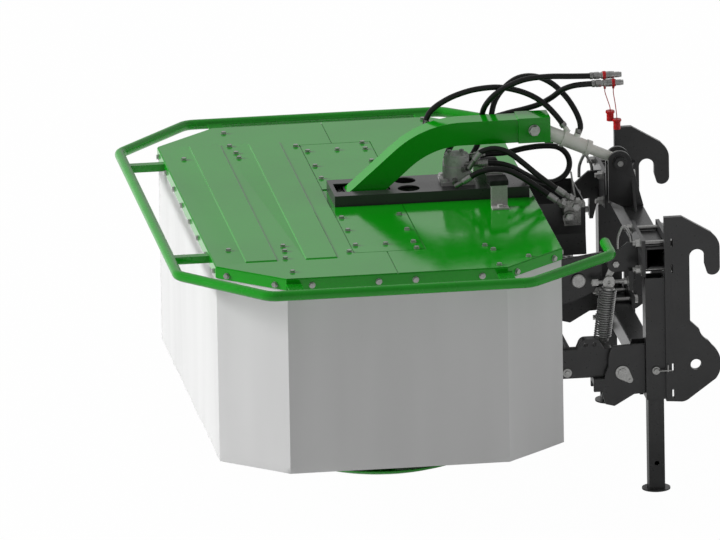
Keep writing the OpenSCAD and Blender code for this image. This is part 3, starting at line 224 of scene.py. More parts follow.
def blendColours(nodes, links, field, low, high, start=0.35, end=0.65):
    ramp = nodes.new("ShaderNodeValToRGB")
    ramp.color_ramp.elements[0].position = start
    ramp.color_ramp.elements[0].color = (*low, 1)
    ramp.color_ramp.elements[1].position = end
    ramp.color_ramp.elements[1].color = (*high, 1)
    links.new(field, ramp.inputs["Fac"])
    return ramp.outputs["Color"]


def spread(nodes, links, field, low, high):
    span = nodes.new("ShaderNodeMapRange")
    span.inputs["From Min"].default_value, span.inputs["From Max"].default_value = noiseSpan
    span.inputs["To Min"].default_value = low
    span.inputs["To Max"].default_value = high
    links.new(field, span.inputs["Value"])
    return span.outputs["Result"]


def roughen(nodes, links, bsdf, field, strength, depth):
    bump = nodes.new("ShaderNodeBump")
    bump.inputs["Strength"].default_value = strength
    bump.inputs["Distance"].default_value = depth
    links.new(field, bump.inputs["Height"])
    links.new(bump.outputs["Normal"], bsdf.inputs["Normal"])


def paint(name, s, dustDetail=6, peelDetail=1):
    # Sprayed or powder paint: cloudy colour, dust in the gloss, fine orange peel
    mat, nodes, links, bsdf = newMaterial(name)
    cloud = noiseField(nodes, links, s["cloudScale"])
    links.new(blendColours(nodes, links, cloud, s["dark"], s["light"]), bsdf.inputs["Base Color"])
    dust = noiseField(nodes, links, s["dustScale"], dustDetail)
    links.new(spread(nodes, links, dust, *s["roughness"]), bsdf.inputs["Roughness"])
    bsdf.inputs["Specular IOR Level"].default_value = s["specular"]
    bsdf.inputs["Coat Weight"].default_value = s["coat"]
    bsdf.inputs["Coat Roughness"].default_value = s["coatRoughness"]
    peel = noiseField(nodes, links, s["peelScale"], peelDetail)
    roughen(nodes, links, bsdf, peel, s["peelStrength"], s["peelDepth"])
    return mat


def metal(name, s, wearDetail=4, depth=0.0002):
    # Plated or machined steel: mottled plating, faint drawn lines
    mat, nodes, links, bsdf = newMaterial(name)
    bsdf.inputs["Metallic"].default_value = s["metallic"]
    coords = nodes.new("ShaderNodeTexCoord")
    cells = nodes.new("ShaderNodeTexVoronoi")
    cells.inputs["Scale"].default_value = s["cellScale"]
    links.new(coords.outputs["Object"], cells.inputs["Vector"])
    split = nodes.new("ShaderNodeSeparateColor")
    links.new(cells.outputs["Color"], split.inputs["Color"])
    mottled = blendColours(nodes, links, split.outputs["Red"], s["dark"], s["light"], 0, 1)
    links.new(mottled, bsdf.inputs["Base Color"])
    wear = noiseField(nodes, links, s["wearScale"], wearDetail, s["grain"])
    links.new(spread(nodes, links, wear, *s["roughness"]), bsdf.inputs["Roughness"])
    roughen(nodes, links, bsdf, wear, s["bump"], depth)
    return mat


def rubber(name, s, cloudDetail=4, grainDetail=2):
    mat, nodes, links, bsdf = newMaterial(name)
    field = noiseField(nodes, links, s["cloudScale"], cloudDetail)
    links.new(blendColours(nodes, links, field, s["dark"], s["light"]), bsdf.inputs["Base Color"])
    fine = noiseField(nodes, links, s["grainScale"], grainDetail)
    links.new(spread(nodes, links, fine, *s["roughness"]), bsdf.inputs["Roughness"])
    bsdf.inputs["Specular IOR Level"].default_value = s["specular"]
    roughen(nodes, links, bsdf, fine, s["bump"], s["depth"])
    return mat


def coatedCloth(name, s):
    # Coated curtain sheet: a woven ground under a smooth skin, with faint vertical shading
    mat, nodes, links, bsdf = newMaterial(name)
    coords = nodes.new("ShaderNodeTexCoord")
    waves = []
    for direction in ("Z", "DIAGONAL"):
        wave = nodes.new("ShaderNodeTexWave")
        wave.bands_direction = direction
        wave.inputs["Scale"].default_value = s["weave"]
        wave.inputs["Distortion"].default_value = s["distortion"]
        links.new(coords.outputs["Object"], wave.inputs["Vector"])
        waves.append(wave)
    weave = mathNode(nodes, links, "MULTIPLY", waves[0].outputs["Fac"], waves[1].outputs["Fac"])
    shade = noiseField(nodes, links, s["cloudScale"], s["cloudDetail"], s["stretch"])
    links.new(blendColours(nodes, links, shade, s["dark"], s["light"]), bsdf.inputs["Base Color"])
    links.new(spread(nodes, links, weave, *s["roughness"]), bsdf.inputs["Roughness"])
    bsdf.inputs["Specular IOR Level"].default_value = s["specular"]
    roughen(nodes, links, bsdf, weave, s["bump"], s["depth"])
    return mat


paints = {
    "deckGreen": {"dark": (0.0012, 0.330, 0.0030), "light": (0.0020, 0.370, 0.0045), "cloudScale": 3.0,
                  "dustScale": 40, "roughness": (0.08, 0.14), "specular": 0.5, "coat": 0.0,
                  "coatRoughness": 0.05, "peelScale": 700, "peelStrength": 0.04, "peelDepth": 0.0004},
    "barGreen": {"dark": (0.0030, 0.290, 0.0050), "light": (0.0045, 0.330, 0.0070), "cloudScale": 6.0,
                 "dustScale": 15, "roughness": (0.22, 0.30), "specular": 0.5, "coat": 0.0,
                 "coatRoughness": 0.2, "peelScale": 900, "peelStrength": 0.01, "peelDepth": 0.0002},
    "frameGrey": {"dark": (0.036, 0.036, 0.037), "light": (0.044, 0.044, 0.045), "cloudScale": 12.0,
                  "dustScale": 80, "roughness": (0.27, 0.31), "specular": 0.5, "coat": 0.0,
                  "coatRoughness": 0.2, "peelScale": 1400, "peelStrength": 0.02, "peelDepth": 0.0003},
    "cylinderCream": {"dark": (0.86, 0.87, 0.80), "light": (0.92, 0.93, 0.87), "cloudScale": 25.0,
                      "dustScale": 120, "roughness": (0.12, 0.18), "specular": 0.5, "coat": 0.1,
                      "coatRoughness": 0.1, "peelScale": 1200, "peelStrength": 0.05, "peelDepth": 0.0003},
    "castGreen": {"dark": (0.006, 0.120, 0.008), "light": (0.012, 0.165, 0.014), "cloudScale": 20.0,
                  "dustScale": 120, "roughness": (0.40, 0.55), "specular": 0.45, "coat": 0.0,
                  "coatRoughness": 0.3, "peelScale": 400, "peelStrength": 0.35, "peelDepth": 0.0008},
}
metals = {
    "fittingSteel": {"metallic": 0.9, "dark": (0.22, 0.22, 0.21), "light": (0.34, 0.34, 0.33), "cellScale": 220,
                     "wearScale": 150, "grain": (1, 1, 1), "roughness": (0.26, 0.40), "bump": 0.12},
    "zinc": {"metallic": 1.0, "dark": (0.40, 0.40, 0.39), "light": (0.54, 0.54, 0.53), "cellScale": 260,
             "wearScale": 160, "grain": (1, 1, 1), "roughness": (0.28, 0.42), "bump": 0.10},
    "dullZinc": {"metallic": 0.1, "dark": (0.40, 0.39, 0.38), "light": (0.48, 0.47, 0.46), "cellScale": 200,
                 "wearScale": 120, "grain": (1, 1, 1), "roughness": (0.50, 0.65), "bump": 0.08},
    "springSteel": {"metallic": 0.9, "dark": (0.34, 0.34, 0.34), "light": (0.46, 0.46, 0.45), "cellScale": 300,
                    "wearScale": 220, "grain": (1, 1, 1), "roughness": (0.26, 0.40), "bump": 0.08},
    "motorMetal": {"metallic": 0.1, "dark": (0.46, 0.45, 0.45), "light": (0.58, 0.57, 0.57), "cellScale": 90,
                   "wearScale": 140, "grain": (1, 1, 1), "roughness": (0.32, 0.50), "bump": 0.2},
    "knifeSteel": {"metallic": 1.0, "dark": (0.26, 0.25, 0.24), "light": (0.38, 0.37, 0.36), "cellScale": 70,
                   "wearScale": 90, "grain": (1, 12, 1), "roughness": (0.35, 0.55), "bump": 0.25},
}
rubbers = {
    "hoseBlack": {"dark": (0.0055, 0.0055, 0.0055), "light": (0.009, 0.009, 0.009), "cloudScale": 40,
                  "grainScale": 900, "roughness": (0.34, 0.46), "specular": 0.4, "bump": 0.25, "depth": 0.0003},
    "beltBlack": {"dark": (0.008, 0.008, 0.008), "light": (0.016, 0.016, 0.016), "cloudScale": 60,
                  "grainScale": 500, "roughness": (0.6, 0.8), "specular": 0.3, "bump": 0.3, "depth": 0.0003},
    "capRed": {"dark": (0.50, 0.004, 0.008), "light": (0.62, 0.008, 0.012), "cloudScale": 80,
               "grainScale": 700, "roughness": (0.32, 0.42), "specular": 0.5, "bump": 0.08, "depth": 0.0002},
}
cloths = {
    "curtainGrey": {"dark": (0.66, 0.66, 0.66), "light": (0.72, 0.72, 0.72), "cloudScale": 5, "cloudDetail": 2,
                    "stretch": (1, 1, 0.12), "weave": 480, "distortion": 0.2, "roughness": (0.62, 0.78),
                    "specular": 0.25, "bump": 0.18, "depth": 0.0003},
}
finishes = {}
for make, group in ((paint, paints), (metal, metals), (rubber, rubbers), (coatedCloth, cloths)):
    for name, settings in group.items():
        finishes[name] = make(name, settings)
print("materials ready:", len(finishes))

# Helpers for pieces

rounding = {
    "segments": 2,
    "fromAngle": 38,  # edges that turn by more than this are rounded, in degrees
    "joinWithin": 2e-5,
    "flatWithin": 0.8,  # faces that turn by less than this are one face, in degrees
    "crease": 35,
}
# Dishes whose rims show wider and lower: from this radius on, a share outwards and a drop
spreadRims = {"left_saucer": (0.20, 0.03, 0.010), "right_saucer": (0.20, 0.03, 0.010)}
# Nodes whose low folds stay sharp, in degrees
creaseAngles = {"deck_covers": 8, "deck_pan": 20}
# Plates that the photograph shows lower than the solids: from x on, a level and its slope
cutDown = {"deck_frame": (0.560, 0.744, 0.15)}

bodyOf = {member: body for body, members in frame["record"]["behaviour"]["bodies"].items() for member in members}


def addPiece(name, mesh, node, finish, smoothAngle=rounding["crease"], replace=True, rides=True):
    # A piece that stands for a node, or sits on one, rides on that node's body
    mesh.name = name
    mesh.materials.clear()
    mesh.materials.append(finishes[finish])
    mesh.polygons.foreach_set("use_smooth", [True] * len(mesh.polygons))
    mesh.set_sharp_from_angle(angle=math.radians(smoothAngle))
    obj = linkNew(bpy.data.objects.new(name, mesh))
    if rides:
        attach(obj, bodyOf[node])
    if replace:
        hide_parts(node)
    return obj


def meshFrom(bm):
    bmesh.ops.recalc_face_normals(bm, faces=bm.faces)
    mesh = bpy.data.meshes.new("piece")
    bm.to_mesh(mesh)
    bm.free()
    return mesh


def softened(node, finish, width):
    # The node's own form with its flat faces joined and its edges rounded
    bm = bmesh.new()
    bm.from_mesh(frame["nodes"][node].data)
    if node in spreadRims:
        start, spread, drop = spreadRims[node]
        middle = sum((v.co for v in bm.verts), Vector()) / len(bm.verts)
        rim = max((v.co - middle).xy.length for v in bm.verts)
        for v in bm.verts:
            share = max(0, (v.co - middle).xy.length - start) / (rim - start)
            v.co.xy = middle.xy + (v.co - middle).xy * (1 + spread * share)
            v.co.z -= drop * share
    if node in cutDown:
        start, level, slope = cutDown[node]
        for v in bm.verts:
            if v.co.x > deckShift + start:
                v.co.z = min(v.co.z, level + slope * (v.co.x - deckShift - start))
    bmesh.ops.remove_doubles(bm, verts=bm.verts, dist=rounding["joinWithin"])
    bmesh.ops.dissolve_limit(bm, angle_limit=math.radians(rounding["flatWithin"]), verts=bm.verts, edges=bm.edges)
    obj = addPiece(node + "Piece", meshFrom(bm), node, finish, creaseAngles.get(node, rounding["crease"]))
    if width:
        edge = obj.modifiers.new("roundedEdges", "BEVEL")
        edge.width = width
        edge.segments = rounding["segments"]
        edge.limit_method = "ANGLE"
        edge.angle_limit = math.radians(rounding["fromAngle"])
        edge.use_clamp_overlap = True
        edge.harden_normals = True


def turned(profile, sides=32):
    # A turned form on +Z: profile points are (radius, height)
    bm = bmesh.new()
    rings = []
    for radius, height in profile:
        if radius < 1e-6:
            rings.append([bm.verts.new((0, 0, height))])
        else:
            rings.append([bm.verts.new((radius * math.cos(2 * math.pi * k / sides),
                                        radius * math.sin(2 * math.pi * k / sides), height))
                          for k in range(sides)])
    for low, high in zip(rings, rings[1:]):
        for k in range(sides):
            corners = [low[k % len(low)], low[(k + 1) % len(low)], high[(k + 1) % len(high)], high[k % len(high)]]
            corners = list(dict.fromkeys(corners))  # where a ring is one point, two corners are the same
            if len(corners) > 2:
                bm.faces.new(corners)
    for ring in (rings[0], rings[-1]):
        if len(ring) > 2:
            bm.faces.new(ring)
    return bm


def hexNut(across, height, chamfer=0.12):
    # A hexagon with its corners turned off
    return turned([(across * 0.5, 0), (across * 0.577, height * chamfer),
                   (across * 0.577, height * (1 - chamfer)), (across * 0.5, height)], 6)


def repeated(ring, count, start, step, radius=1.0):
    # The same ring of a profile several times along its height
    return [(radius * r, start + step * k + z) for k in range(count) for r, z in ring]


def joinAt(target, part, matrix=Matrix.Identity(4)):
    part.transform(matrix)
    mesh = bpy.data.meshes.new("joint")
    part.to_mesh(mesh)
    part.free()
    target.from_mesh(mesh)
    bpy.data.meshes.remove(mesh)


def facing(place, direction):
    # A frame at place whose +Z points along direction
    return Matrix.Translation(place) @ Vector(direction).to_track_quat("Z", "Y").to_matrix().to_4x4()


def smoothRoute(points, step=0.012):
    # A smooth curve through the points, as even steps
    pts = [points[0]] + list(points) + [points[-1]]
    fine = []
    for i in range(1, len(pts) - 2):
        a, b, c, d = pts[i - 1], pts[i], pts[i + 1], pts[i + 2]
        ta = (c - a).length or 1e-9
        tb = (d - b).length or 1e-9
        span = (c - b).length
        ma = (c - a) / ta * span
        mb = (d - b) / tb * span
        count = max(2, round(span / step))
        for k in range(count):
            t = k / count
            h = t * t * (3 - 2 * t)
            fine.append(b * (1 - h) + c * h + ma * (t * (1 - t) ** 2) - mb * (t * t * (1 - t)))
    fine.append(points[-1].copy())
    return fine


def tubeMesh(route, radius, sides=16):
    # A tube swept along the route by a frame that doesn't twist
    bm = bmesh.new()
    side = None
    rings = []
    for i, p in enumerate(route):
        ahead = (route[min(i + 1, len(route) - 1)] - route[max(i - 1, 0)]).normalized()
        if side is None:
            side = ahead.orthogonal().normalized()
        side = (side - side.dot(ahead) * ahead).normalized()
        other = ahead.cross(side)
        rings.append([bm.verts.new(p + radius * (math.cos(2 * math.pi * k / sides) * side
                                                 + math.sin(2 * math.pi * k / sides) * other))
                      for k in range(sides)])
    for low, high in zip(rings, rings[1:]):
        for k in range(sides):
            bm.faces.new([low[k], low[(k + 1) % sides], high[(k + 1) % sides], high[k]])
    bm.faces.new(rings[0])
    bm.faces.new(rings[-1])
    return bm


# Hoses, couplers, caps and their cords

hoses = {
    "diameter": 0.019,
    "ferruleDiameter": 0.0235,
    # Sleeve lengths at a hose's first and last place
    "ferruleLength": {"supply": (0.012, 0.020), "barrel": (0.024, 0.014),
                      "motor": (0.034, 0.034), "bypass": (0.034, 0.034)},
    "sleeveStep": 3,  # the sleeves point along the first and last steps of the smooth route
    # The same places as in the part's source
    "routes": {
        "supplyHoseA": ("supply_hoses", [
            (777, -20, 1262), (757, -20, 1262), (700, -19, 1264), (630, -12, 1265), (560, 0, 1257),
            (510, 13, 1237), (468, 28, 1209), (440, 42, 1178), (424, 58, 1144), (420, 72, 1106),
            (418, 80, 1066), (410, 84, 1028), (392, 80, 994), (370, 74, 968), (344, 68, 948)]),
        "supplyHoseB": ("supply_hoses", [
            (781, -34, 1239), (756, -34, 1239), (710, -24, 1233), (676, 6, 1212), (646, 36, 1180),
            (608, 62, 1152), (565, 82, 1134), (515, 102, 1118), (465, 118, 1100), (415, 124, 1080),
            (365, 118, 1054), (328, 102, 1024), (306, 86, 992), (300, 76, 960)]),
        "barrelFeedHose": ("cylinder_hoses", [
            (236, 75, 1092), (236, 75, 1112), (256, 76, 1147), (310, 74, 1183), (370, 68, 1206),
            (420, 62, 1216), (475, 54, 1219), (530, 42, 1210), (580, 28, 1192), (622, 14, 1164),
            (660, 5, 1122), (682, 0, 1090)]),
        "barrelReturnHose": ("cylinder_hoses", [
            (450, 60, 1096), (450, 60, 1120), (466, 77, 1168), (500, 90, 1208), (546, 95, 1236),
            (600, 88, 1240), (650, 72, 1220), (690, 46, 1184), (714, 26, 1150), (731, 9, 1112),
            (735, 0, 1083), (727, 0, 1065.5)]),
        "motorFeedHose": ("motor_hoses", [
            (373, -76, 1014), (382, -78, 1029), (400, -81, 1044), (440, -86, 1052), (485, -94, 1038),
            (525, -106, 1008), (570, -126, 970), (615, -148, 936), (658, -164, 906)]),
        "motorReturnHose": ("motor_hoses", [
            (332, -94, 948), (352, -101, 962), (382, -107, 980), (430, -111, 990), (480, -116, 983),
            (535, -132, 954), (585, -154, 921), (630, -175, 889)]),
        "bypassHose": ("bypass_hose", [
            (390, 36, 998), (440, 56, 995), (500, 72, 992), (560, 76, 1002), (620, 71, 1008),
            (668, 66, 1003), (696, 64, 980), (706, 62, 948), (696, 56, 918), (668, 44, 899),
            (630, 26, 896), (590, 5, 913), (545, -19, 943), (500, -38, 974), (450, -42, 990),
            (390, -34, 989)]),
    },
}
couplers = {
    "body": 0.025, "length": 0.092, "places": ((777, -20, 1262), (781, -34, 1239)),
    "nutAcross": 1.72, "nutLength": 0.020, "ridges": 6, "ridgeStart": 0.035, "ridgeStep": 0.0045,
    # Profiles of (share of the radius, height), and the rim's heights from the far end
    "neck": ((0.78, 0.019), (0.78, 0.024), (0.96, 0.026), (0.96, 0.034)),
    "ridge": ((0.92, 0), (1, 0.0008), (1, 0.0032), (0.92, 0.004)),
    "nose": ((0.94, 0.064), (0.94, 0.067), (0.76, 0.069), (0.76, 0.084), (0.68, 0.0865)),
    "rim": ((0.68, -0.001), (0.62, 0), (0.40, 0), (0.40, -0.003), (0, -0.003)),
}
capCords = {
    "diameter": 0.003, "sides": 8, "step": 0.006,
    "routes": (
        [(812, -34, 1220), (812, -34, 1210), (819, -42, 1185), (826, -50, 1160), (826, -50, 1150)],
        [(840, -34, 1220), (840, -34, 1205), (843, -48, 1175), (846, -62, 1135), (846, -62, 1124)]),
    "caps": ((826, -50, 1116), (846, -62, 1090)),
    "bands": ((812, -20, 1262), (840, -34, 1239)),
    # Profiles of (radius, height): the cap's mouth, one rib, its lip, the cord's stub and the band
    "mouth": ((0.0085, 0.004), (0.0085, 0), (0.0118, 0), (0.0120, 0.001)),
    "ribs": 5, "ribStart": 0.002, "ribStep": 0.0045,
    "rib": ((0.0112, 0), (0.0120, 0.0012), (0.0120, 0.0030), (0.0112, 0.0042)),
    "lip": ((0.0146, 0.0265), (0.0150, 0.028), (0.0150, 0.032), (0.0140, 0.034), (0.004, 0.034), (0, 0.034)),
    "stub": ((0.0022, 0), (0.004, 0.001), (0.004, 0.012), (0.0022, 0.014)),
    "stubDrop": 0.0005,
    "band": ((0.0128, -0.005), (0.0138, -0.004), (0.0138, 0.004), (0.0128, 0.005)),
}


def ferrule(diameter, length):
    # Crimped sleeve: a collar at its mouth, four pressed rings and a rounded end
    r, waist, bore = diameter / 2, 0.93, 0.80
    steps = [(r * bore, 0), (r, 0.0015), (r, length * 0.12), (r * waist, length * 0.16)]
    ring = [(waist, 0), (1, length * 0.03), (1, length * 0.12), (waist, length * 0.15)]
    steps += repeated(ring, 4, length * 0.18, length * 0.17, r)
    steps += [(r * waist, length * 0.90), (r, length * 0.92), (r * 0.97, length), (r * bore, length)]
    return turned(steps, 16)


def makeHoses(s):
    for name, (node, points) in s["routes"].items():
        route = smoothRoute([at(*p) for p in points])
        hose = addPiece(name, meshFrom(tubeMesh(route, s["diameter"] / 2)), node, "hoseBlack", 60)
        sleeves = bmesh.new()
        lengths = next(v for kind, v in s["ferruleLength"].items() if name.startswith(kind))
        step = s["sleeveStep"]
        for end, inner, length in zip((route[0], route[-1]), (route[step], route[-1 - step]), lengths):
            joinAt(sleeves, ferrule(s["ferruleDiameter"], length), facing(end, inner - end))
        pieces = [addPiece(name + "Ends", meshFrom(sleeves), node, "zinc", 35, False)]
        # A supply hose's list starts at its coupler, and its run ends there
        supply = name.startswith("supply")
        if supply:
            pieces.append(name.replace("Hose", "Coupler"))


def makeCouplers(s):
    # Flat-face quick couplers: hexagon, knurled sleeve, stepped nose
    for name, place in zip(("supplyCouplerA", "supplyCouplerB"), s["places"]):
        bm = bmesh.new()
        r, length = s["body"] / 2, s["length"]
        joinAt(bm, hexNut(r * s["nutAcross"], s["nutLength"]))
        profile = [(r * share, z) for share, z in s["neck"]]
        profile += repeated(s["ridge"], s["ridges"], s["ridgeStart"], s["ridgeStep"], r)
        profile += [(r * share, z) for share, z in s["nose"]]
        profile += [(r * share, length + z) for share, z in s["rim"]]
        joinAt(bm, turned(profile, 40))
        bm.transform(facing(at(*place), (1, 0, 0)))
        addPiece(name, meshFrom(bm), "quick_couplers", "zinc")


def makeCaps(s):
    for i, (points, place) in enumerate(zip(s["routes"], s["caps"])):
        route = smoothRoute([at(*p) for p in points], s["step"])
        tube = tubeMesh(route, s["diameter"] / 2, s["sides"])
        cord = addPiece("capCord%d" % (i + 1), meshFrom(tube), "cap_cords", "capRed")
        # Ribbed cap with a round lip, hung mouth down
        profile = [*s["mouth"], *repeated(s["rib"], s["ribs"], s["ribStart"], s["ribStep"]), *s["lip"]]
        bm = turned(profile, 36)
        bm.transform(Matrix.Translation(at(*place)))
        cap = addPiece("dustCap%d" % (i + 1), meshFrom(bm), "dust_caps", "capRed")
        # Band round the coupler, with the stub that the cord hangs from
        ring = bmesh.new()
        joinAt(ring, turned(s["stub"], 16), Matrix.Translation(route[0] - Vector((0, 0, s["stubDrop"]))))
        joinAt(ring, turned(s["band"], 36), facing(at(*s["bands"][i]), (1, 0, 0)))
        addPiece("capBand%d" % (i + 1), meshFrom(ring), "quick_couplers", "capRed", 35, False)


makeCouplers(couplers)
makeHoses(hoses)
makeCaps(capCords)
print("hoses, couplers and caps ready")

# Rigid pieces that keep their own form, with rounded edges

rigidPieces = {
    # node: (finish, edge radius in metres)
    "upper_cross_tube": ("frameGrey", 0.004), "lower_cross_tube": ("frameGrey", 0.004),
    "leg_sleeves": ("frameGrey", 0.003), "left_hook_plate": ("frameGrey", 0.0022),
    "right_hook_plate": ("frameGrey", 0.0022), "clamp_plates": ("frameGrey", 0.0018),
    "clamp_bolts": ("zinc", 0.0006), "tower": ("frameGrey", 0.0015), "frame_pins": ("zinc", 0.001),
    "pivot_brackets": ("frameGrey", 0.0015), "spring_brackets": ("frameGrey", 0.0012),
    "spring_anchors": ("zinc", 0.0006), "parking_legs": ("frameGrey", 0.0025),
    "left_leg_pin": ("zinc", 0.0006), "right_leg_pin": ("zinc", 0.0006),
    "lower_arms": ("frameGrey", 0.002), "arm_pins": ("zinc", 0.0008),
    "cylinder_barrel": ("cylinderCream", 0.0008), "cylinder_rod": ("cylinderCream", 0.0008),
    "deck_pan": ("deckGreen", 0.0012), "deck_covers": ("deckGreen", 0.0006),
    "cover_bolts": ("zinc", 0.0004), "curtain_fixings": ("zinc", 0.0004),
    "deck_frame": ("frameGrey", 0.0015), "centre_beam": ("frameGrey", 0.0015),
    "gooseneck": ("deckGreen", 0.0025), "clevis_pin": ("zinc", 0.0008), "bumper": ("barGreen", 0),
    "gear_housing": ("castGreen", 0.003), "drum_bearings": ("zinc", 0.001), "motor": ("motorMetal", 0.001),
    "hose_strap": ("dullZinc", 0.0015), "rear_guard": ("frameGrey", 0.0012),
    "hydraulic_fittings": ("fittingSteel", 0.0012), "drive_belts": ("beltBlack", 0.0005),
    "motor_pulley": ("zinc", 0.0005), "input_pulley": ("zinc", 0.0005),
    "left_drum": ("barGreen", 0.001), "right_drum": ("barGreen", 0.001),
    "left_saucer": ("barGreen", 0.001), "right_saucer": ("barGreen", 0.001),
}
for side in ("left", "right"):
    for number in (1, 2, 3):
        rigidPieces["%s_knife_%d" % (side, number)] = ("knifeSteel", 0.0006)
for node, (finish, radius) in rigidPieces.items():
    softened(node, finish, radius)
print("rigid pieces ready:", len(rigidPieces))

# Small fittings that sit on the rigid pieces

fittings = {
    "pinHead": (664, 680), "pinHeadSide": 0.384, "pinHeadFace": 0.018, "pinHeadRadius": 0.0235,
    "pinHeadDepth": 0.006, "pinHeadEdge": 0.003,
    "pads": (((404, -212, 961), (466, -138, 979)), ((404, 22, 963), (466, 78, 979))),
    "padEdge": 0.003,
    "shackle": ((790, 792), (792, 830), (804, 860), (811, 866), (818, 860), (831, 832), (834, 792)),
    "shackleSide": 434, "shackleRod": 0.0105, "shackleStep": 0.006,
    "collar": (858, 968), "collarInner": 0.0095, "collarOuter": 0.0205, "collarDepth": 0.0085,
    "collarProud": 0.001,
    # Nuts on the valve block and its fittings: place, direction, width across the flats, height
    "nuts": (((667, -203, 837), (0, -1, 0), 0.030, 0.008), ((690, -184, 868), (0, -1, 0), 0.022, 0.009),
             ((640, -180, 884), (0.86, 0.12, -0.50), 0.027, 0.016),
             ((668, -172, 898), (0.86, 0.12, -0.50), 0.027, 0.016)),
}


def boxBetween(low, high):
    bm = bmesh.new()
    bmesh.ops.create_cube(bm, size=1)
    low, high = at(*low), at(*high)
    for v in bm.verts:
        v.co = Vector(((low[i] + high[i]) / 2 + v.co[i] * (high[i] - low[i]) for i in range(3)))
    return bm


def ringOf(inner, outer, height):
    # A closed ring with a square section
    bm = turned([(inner, 0), (outer, 0), (outer, height), (inner, height), (inner, 0)], 48)
    bmesh.ops.delete(bm, geom=[f for f in bm.faces if len(f.verts) > 4], context="FACES_ONLY")
    bmesh.ops.remove_doubles(bm, verts=bm.verts, dist=1e-6)
    return bm


def makeFittings(s):
    # Zinc heads of the bracket pins
    heads = bmesh.new()
    r, depth, edge = s["pinHeadRadius"], s["pinHeadDepth"], s["pinHeadEdge"]
    profile = [(r, 0), (r, edge), (r - edge, depth - 0.001), (0, depth)]
    for side in (-1, 1):
        place = at(s["pinHead"][0], 0, s["pinHead"][1])
        place.y = side * (s["pinHeadSide"] + s["pinHeadFace"])
        joinAt(heads, turned(profile, 48), facing(place, (0, side, 0)))
    addPiece("pinHeads", meshFrom(heads), "deck_frame", "zinc", 30, False)
    # Rubber pads round the strap that the hoses lie on
    pads = bmesh.new()
    for low, high in s["pads"]:
        joinAt(pads, boxBetween(low, high))
    pad = addPiece("strapPads", meshFrom(pads), "hose_strap", "beltBlack", 35, False)
    edge = pad.modifiers.new("roundedEdges", "BEVEL")
    edge.width = s["padEdge"]
    edge.segments = 3
    # Dark collar round the near end of the tower's pin
    place = at(s["collar"][0], 0, s["collar"][1])
    place.y = min(v.co.y for v in frame["nodes"]["frame_pins"].data.vertices
                  if (v.co - place).xz.length < s["collarOuter"]) + s["collarDepth"] - s["collarProud"]
    collar = ringOf(s["collarInner"], s["collarOuter"], s["collarDepth"])
    collar.transform(facing(place, (0, -1, 0)))
    addPiece("towerPinCollar", meshFrom(collar), "frame_pins", "frameGrey", 30, False)
    # Nuts on the valve block
    nuts = bmesh.new()
    for place, direction, across, height in s["nuts"]:
        joinAt(nuts, hexNut(across, height), facing(at(*place), direction))
    addPiece("valveNuts", meshFrom(nuts), "hydraulic_fittings", "zinc", 30, False)
    # Bent rods that stand on the spring brackets
    rods = bmesh.new()
    for side in (-1, 1):
        route = smoothRoute([at(x, side * s["shackleSide"], z) for x, z in s["shackle"]], s["shackleStep"])
        joinAt(rods, tubeMesh(route, s["shackleRod"] / 2, 12))
    addPiece("springShackles", meshFrom(rods), "spring_anchors", "zinc", 50, False)


makeFittings(fittings)
print("small fittings ready")

# Springs

springs = {
    "coilDiameter": 0.037, "wire": 0.006, "turns": 20, "stepsPerTurn": 20, "wireSides": 10, "side": 0.434,
    "top": (755, 657), "foot": (734, 494),
}


def makeSpring(name, node, side, s):
    top, foot = at(s["top"][0], 0, s["top"][1]), at(s["foot"][0], 0, s["foot"][1])
    top.y = foot.y = side * s["side"]
    length = (top - foot).length
    axis = (top - foot).normalized()
    across = axis.orthogonal()
    other = axis.cross(across)
    count = s["turns"] * s["stepsPerTurn"]
    inset = s["wire"] / 2
    route = []
    for k in range(count + 1):
        t = k / count
        a = 2 * math.pi * s["turns"] * t
        route.append(foot + axis * (inset + (length - 2 * inset) * t)
                     + s["coilDiameter"] / 2 * (math.cos(a) * across + math.sin(a) * other))
    coil = tubeMesh(route, s["wire"] / 2, s["wireSides"])
    spring = addPiece(name, meshFrom(coil), node, "springSteel", 60, True, False)
    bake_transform(spring)


makeSpring("leftSpring", "left_spring", -1, springs)
makeSpring("rightSpring", "right_spring", 1, springs)
print("springs ready")

# Curtains

curtains = {
    "top": 0.880, "foot": 0.233, "thickness": 0.004, "outer": 0.563, "half": 0.913,
    "cornerLong": 0.205, "cornerWide": 0.190, "step": 0.03, "levels": 22,
    "join": 0.006, "gap": 0.0002,  # how far the side sheets reach round the corners, and the gap there
    "slot": (0.454, 0.538), "slotTop": 0.560, "slotClear": 0.012, "levelClear": 0.01,
    "waveDepth": 0.0012, "freeCurve": 1.5,
    # Each wave: turns along the sheet, turns up it, its start and its share
    "waves": ((11.0, 0, 0.7, 0.6), (23.0, 3, 0, 0.4)),
    "crispness": 100,
}


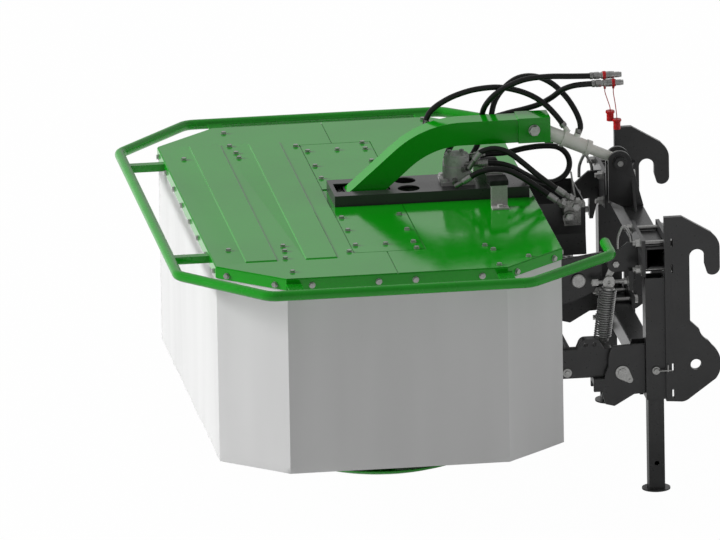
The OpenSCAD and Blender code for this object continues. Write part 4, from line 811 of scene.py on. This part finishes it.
def sheetFrom(name, node, corners, s, cuts=()):
    # A hanging sheet along a line of corners, with faint waves that grow towards its free edge
    stops = []
    for a, b in zip(corners, corners[1:]):
        a, b = Vector(a), Vector(b)
        count = max(2, round((b - a).length / s["step"]))
        stops += [a.lerp(b, k / count) for k in range(count)]
    stops.append(Vector(corners[-1]))
    marks = sorted({round(c, 5) for c in cuts})
    if marks:
        clear = {round(p.y, 5) for p in stops if min(abs(p.y - m) for m in marks) > s["slotClear"]}
        stops = [Vector((stops[0].x, y)) for y in sorted(clear | set(marks))]
    levels = s["levels"]
    heights = [s["foot"] + (s["top"] - s["foot"]) * j / levels for j in range(levels + 1)]
    if marks:
        heights = sorted({h for h in heights if abs(h - s["slotTop"]) > s["levelClear"]} | {s["slotTop"]})
    bm = bmesh.new()
    grid = []
    along = 0.0
    for i, p in enumerate(stops):
        before, after = stops[max(i - 1, 0)], stops[min(i + 1, len(stops) - 1)]
        if i:
            along += (p - before).length
        out = (after - before).normalized()
        out = Vector((out.y, -out.x))
        if out.dot(p) < 0:
            out = -out
        corner = any((p - Vector(c)).length < 1e-6 for c in corners)
        column = []
        for h in heights:
            free = ((s["top"] - h) / (s["top"] - s["foot"])) ** s["freeCurve"]
            ripple = sum(share * math.sin(along * a + h * b + start) for a, b, start, share in s["waves"])
            wave = 0 if corner else s["waveDepth"] * free * ripple
            spot = p - out * (s["thickness"] / 2 + s["waveDepth"] - wave)
            column.append(bm.verts.new((spot.x + deckShift, spot.y, h)))
        grid.append(column)
    for i in range(len(grid) - 1):
        mid = (stops[i].y + stops[i + 1].y) / 2
        for j in range(len(heights) - 1):
            if marks and heights[j] < s["slotTop"] - 1e-6 and s["slot"][0] < abs(mid) < s["slot"][1]:
                continue
            bm.faces.new([grid[i][j], grid[i + 1][j], grid[i + 1][j + 1], grid[i][j + 1]])
    loose = [v for v in bm.verts if not v.link_faces]
    bmesh.ops.delete(bm, geom=loose, context="VERTS")
    area = sum(f.calc_area() for f in bm.faces)
    obj = addPiece(name, meshFrom(bm), node, "curtainGrey", 30)
    body = obj.modifiers.new("sheet", "SOLIDIFY")
    body.thickness = s["thickness"]
    body.offset = 0
    crisp = obj.modifiers.new("crispRim", "WEIGHTED_NORMAL")
    crisp.keep_sharp = True
    crisp.weight = s["crispness"]


def makeCurtains(s):
    x, y = s["outer"], s["half"]
    cutX, cutY = x - s["cornerLong"], y - s["cornerWide"]
    join = s["join"]
    near = cutY - join + s["gap"]
    sheetFrom("frontCurtain", "front_curtain", [(-x, -cutY + join), (-x, cutY - join)], s)
    for name, side in (("left", -1), ("right", 1)):
        sheetFrom(name + "Curtain", name + "_curtain",
                  [(-x, side * near), (-x, side * cutY), (-cutX, side * y), (cutX, side * y),
                   (x, side * cutY), (x, side * near)], s)
    slots = [sign * edge for sign in (-1, 1) for edge in s["slot"]]
    sheetFrom("rearCurtain", "rear_curtain", [(x, -cutY + join), (x, cutY - join)], s, slots)


makeCurtains(curtains)
print("curtains ready")
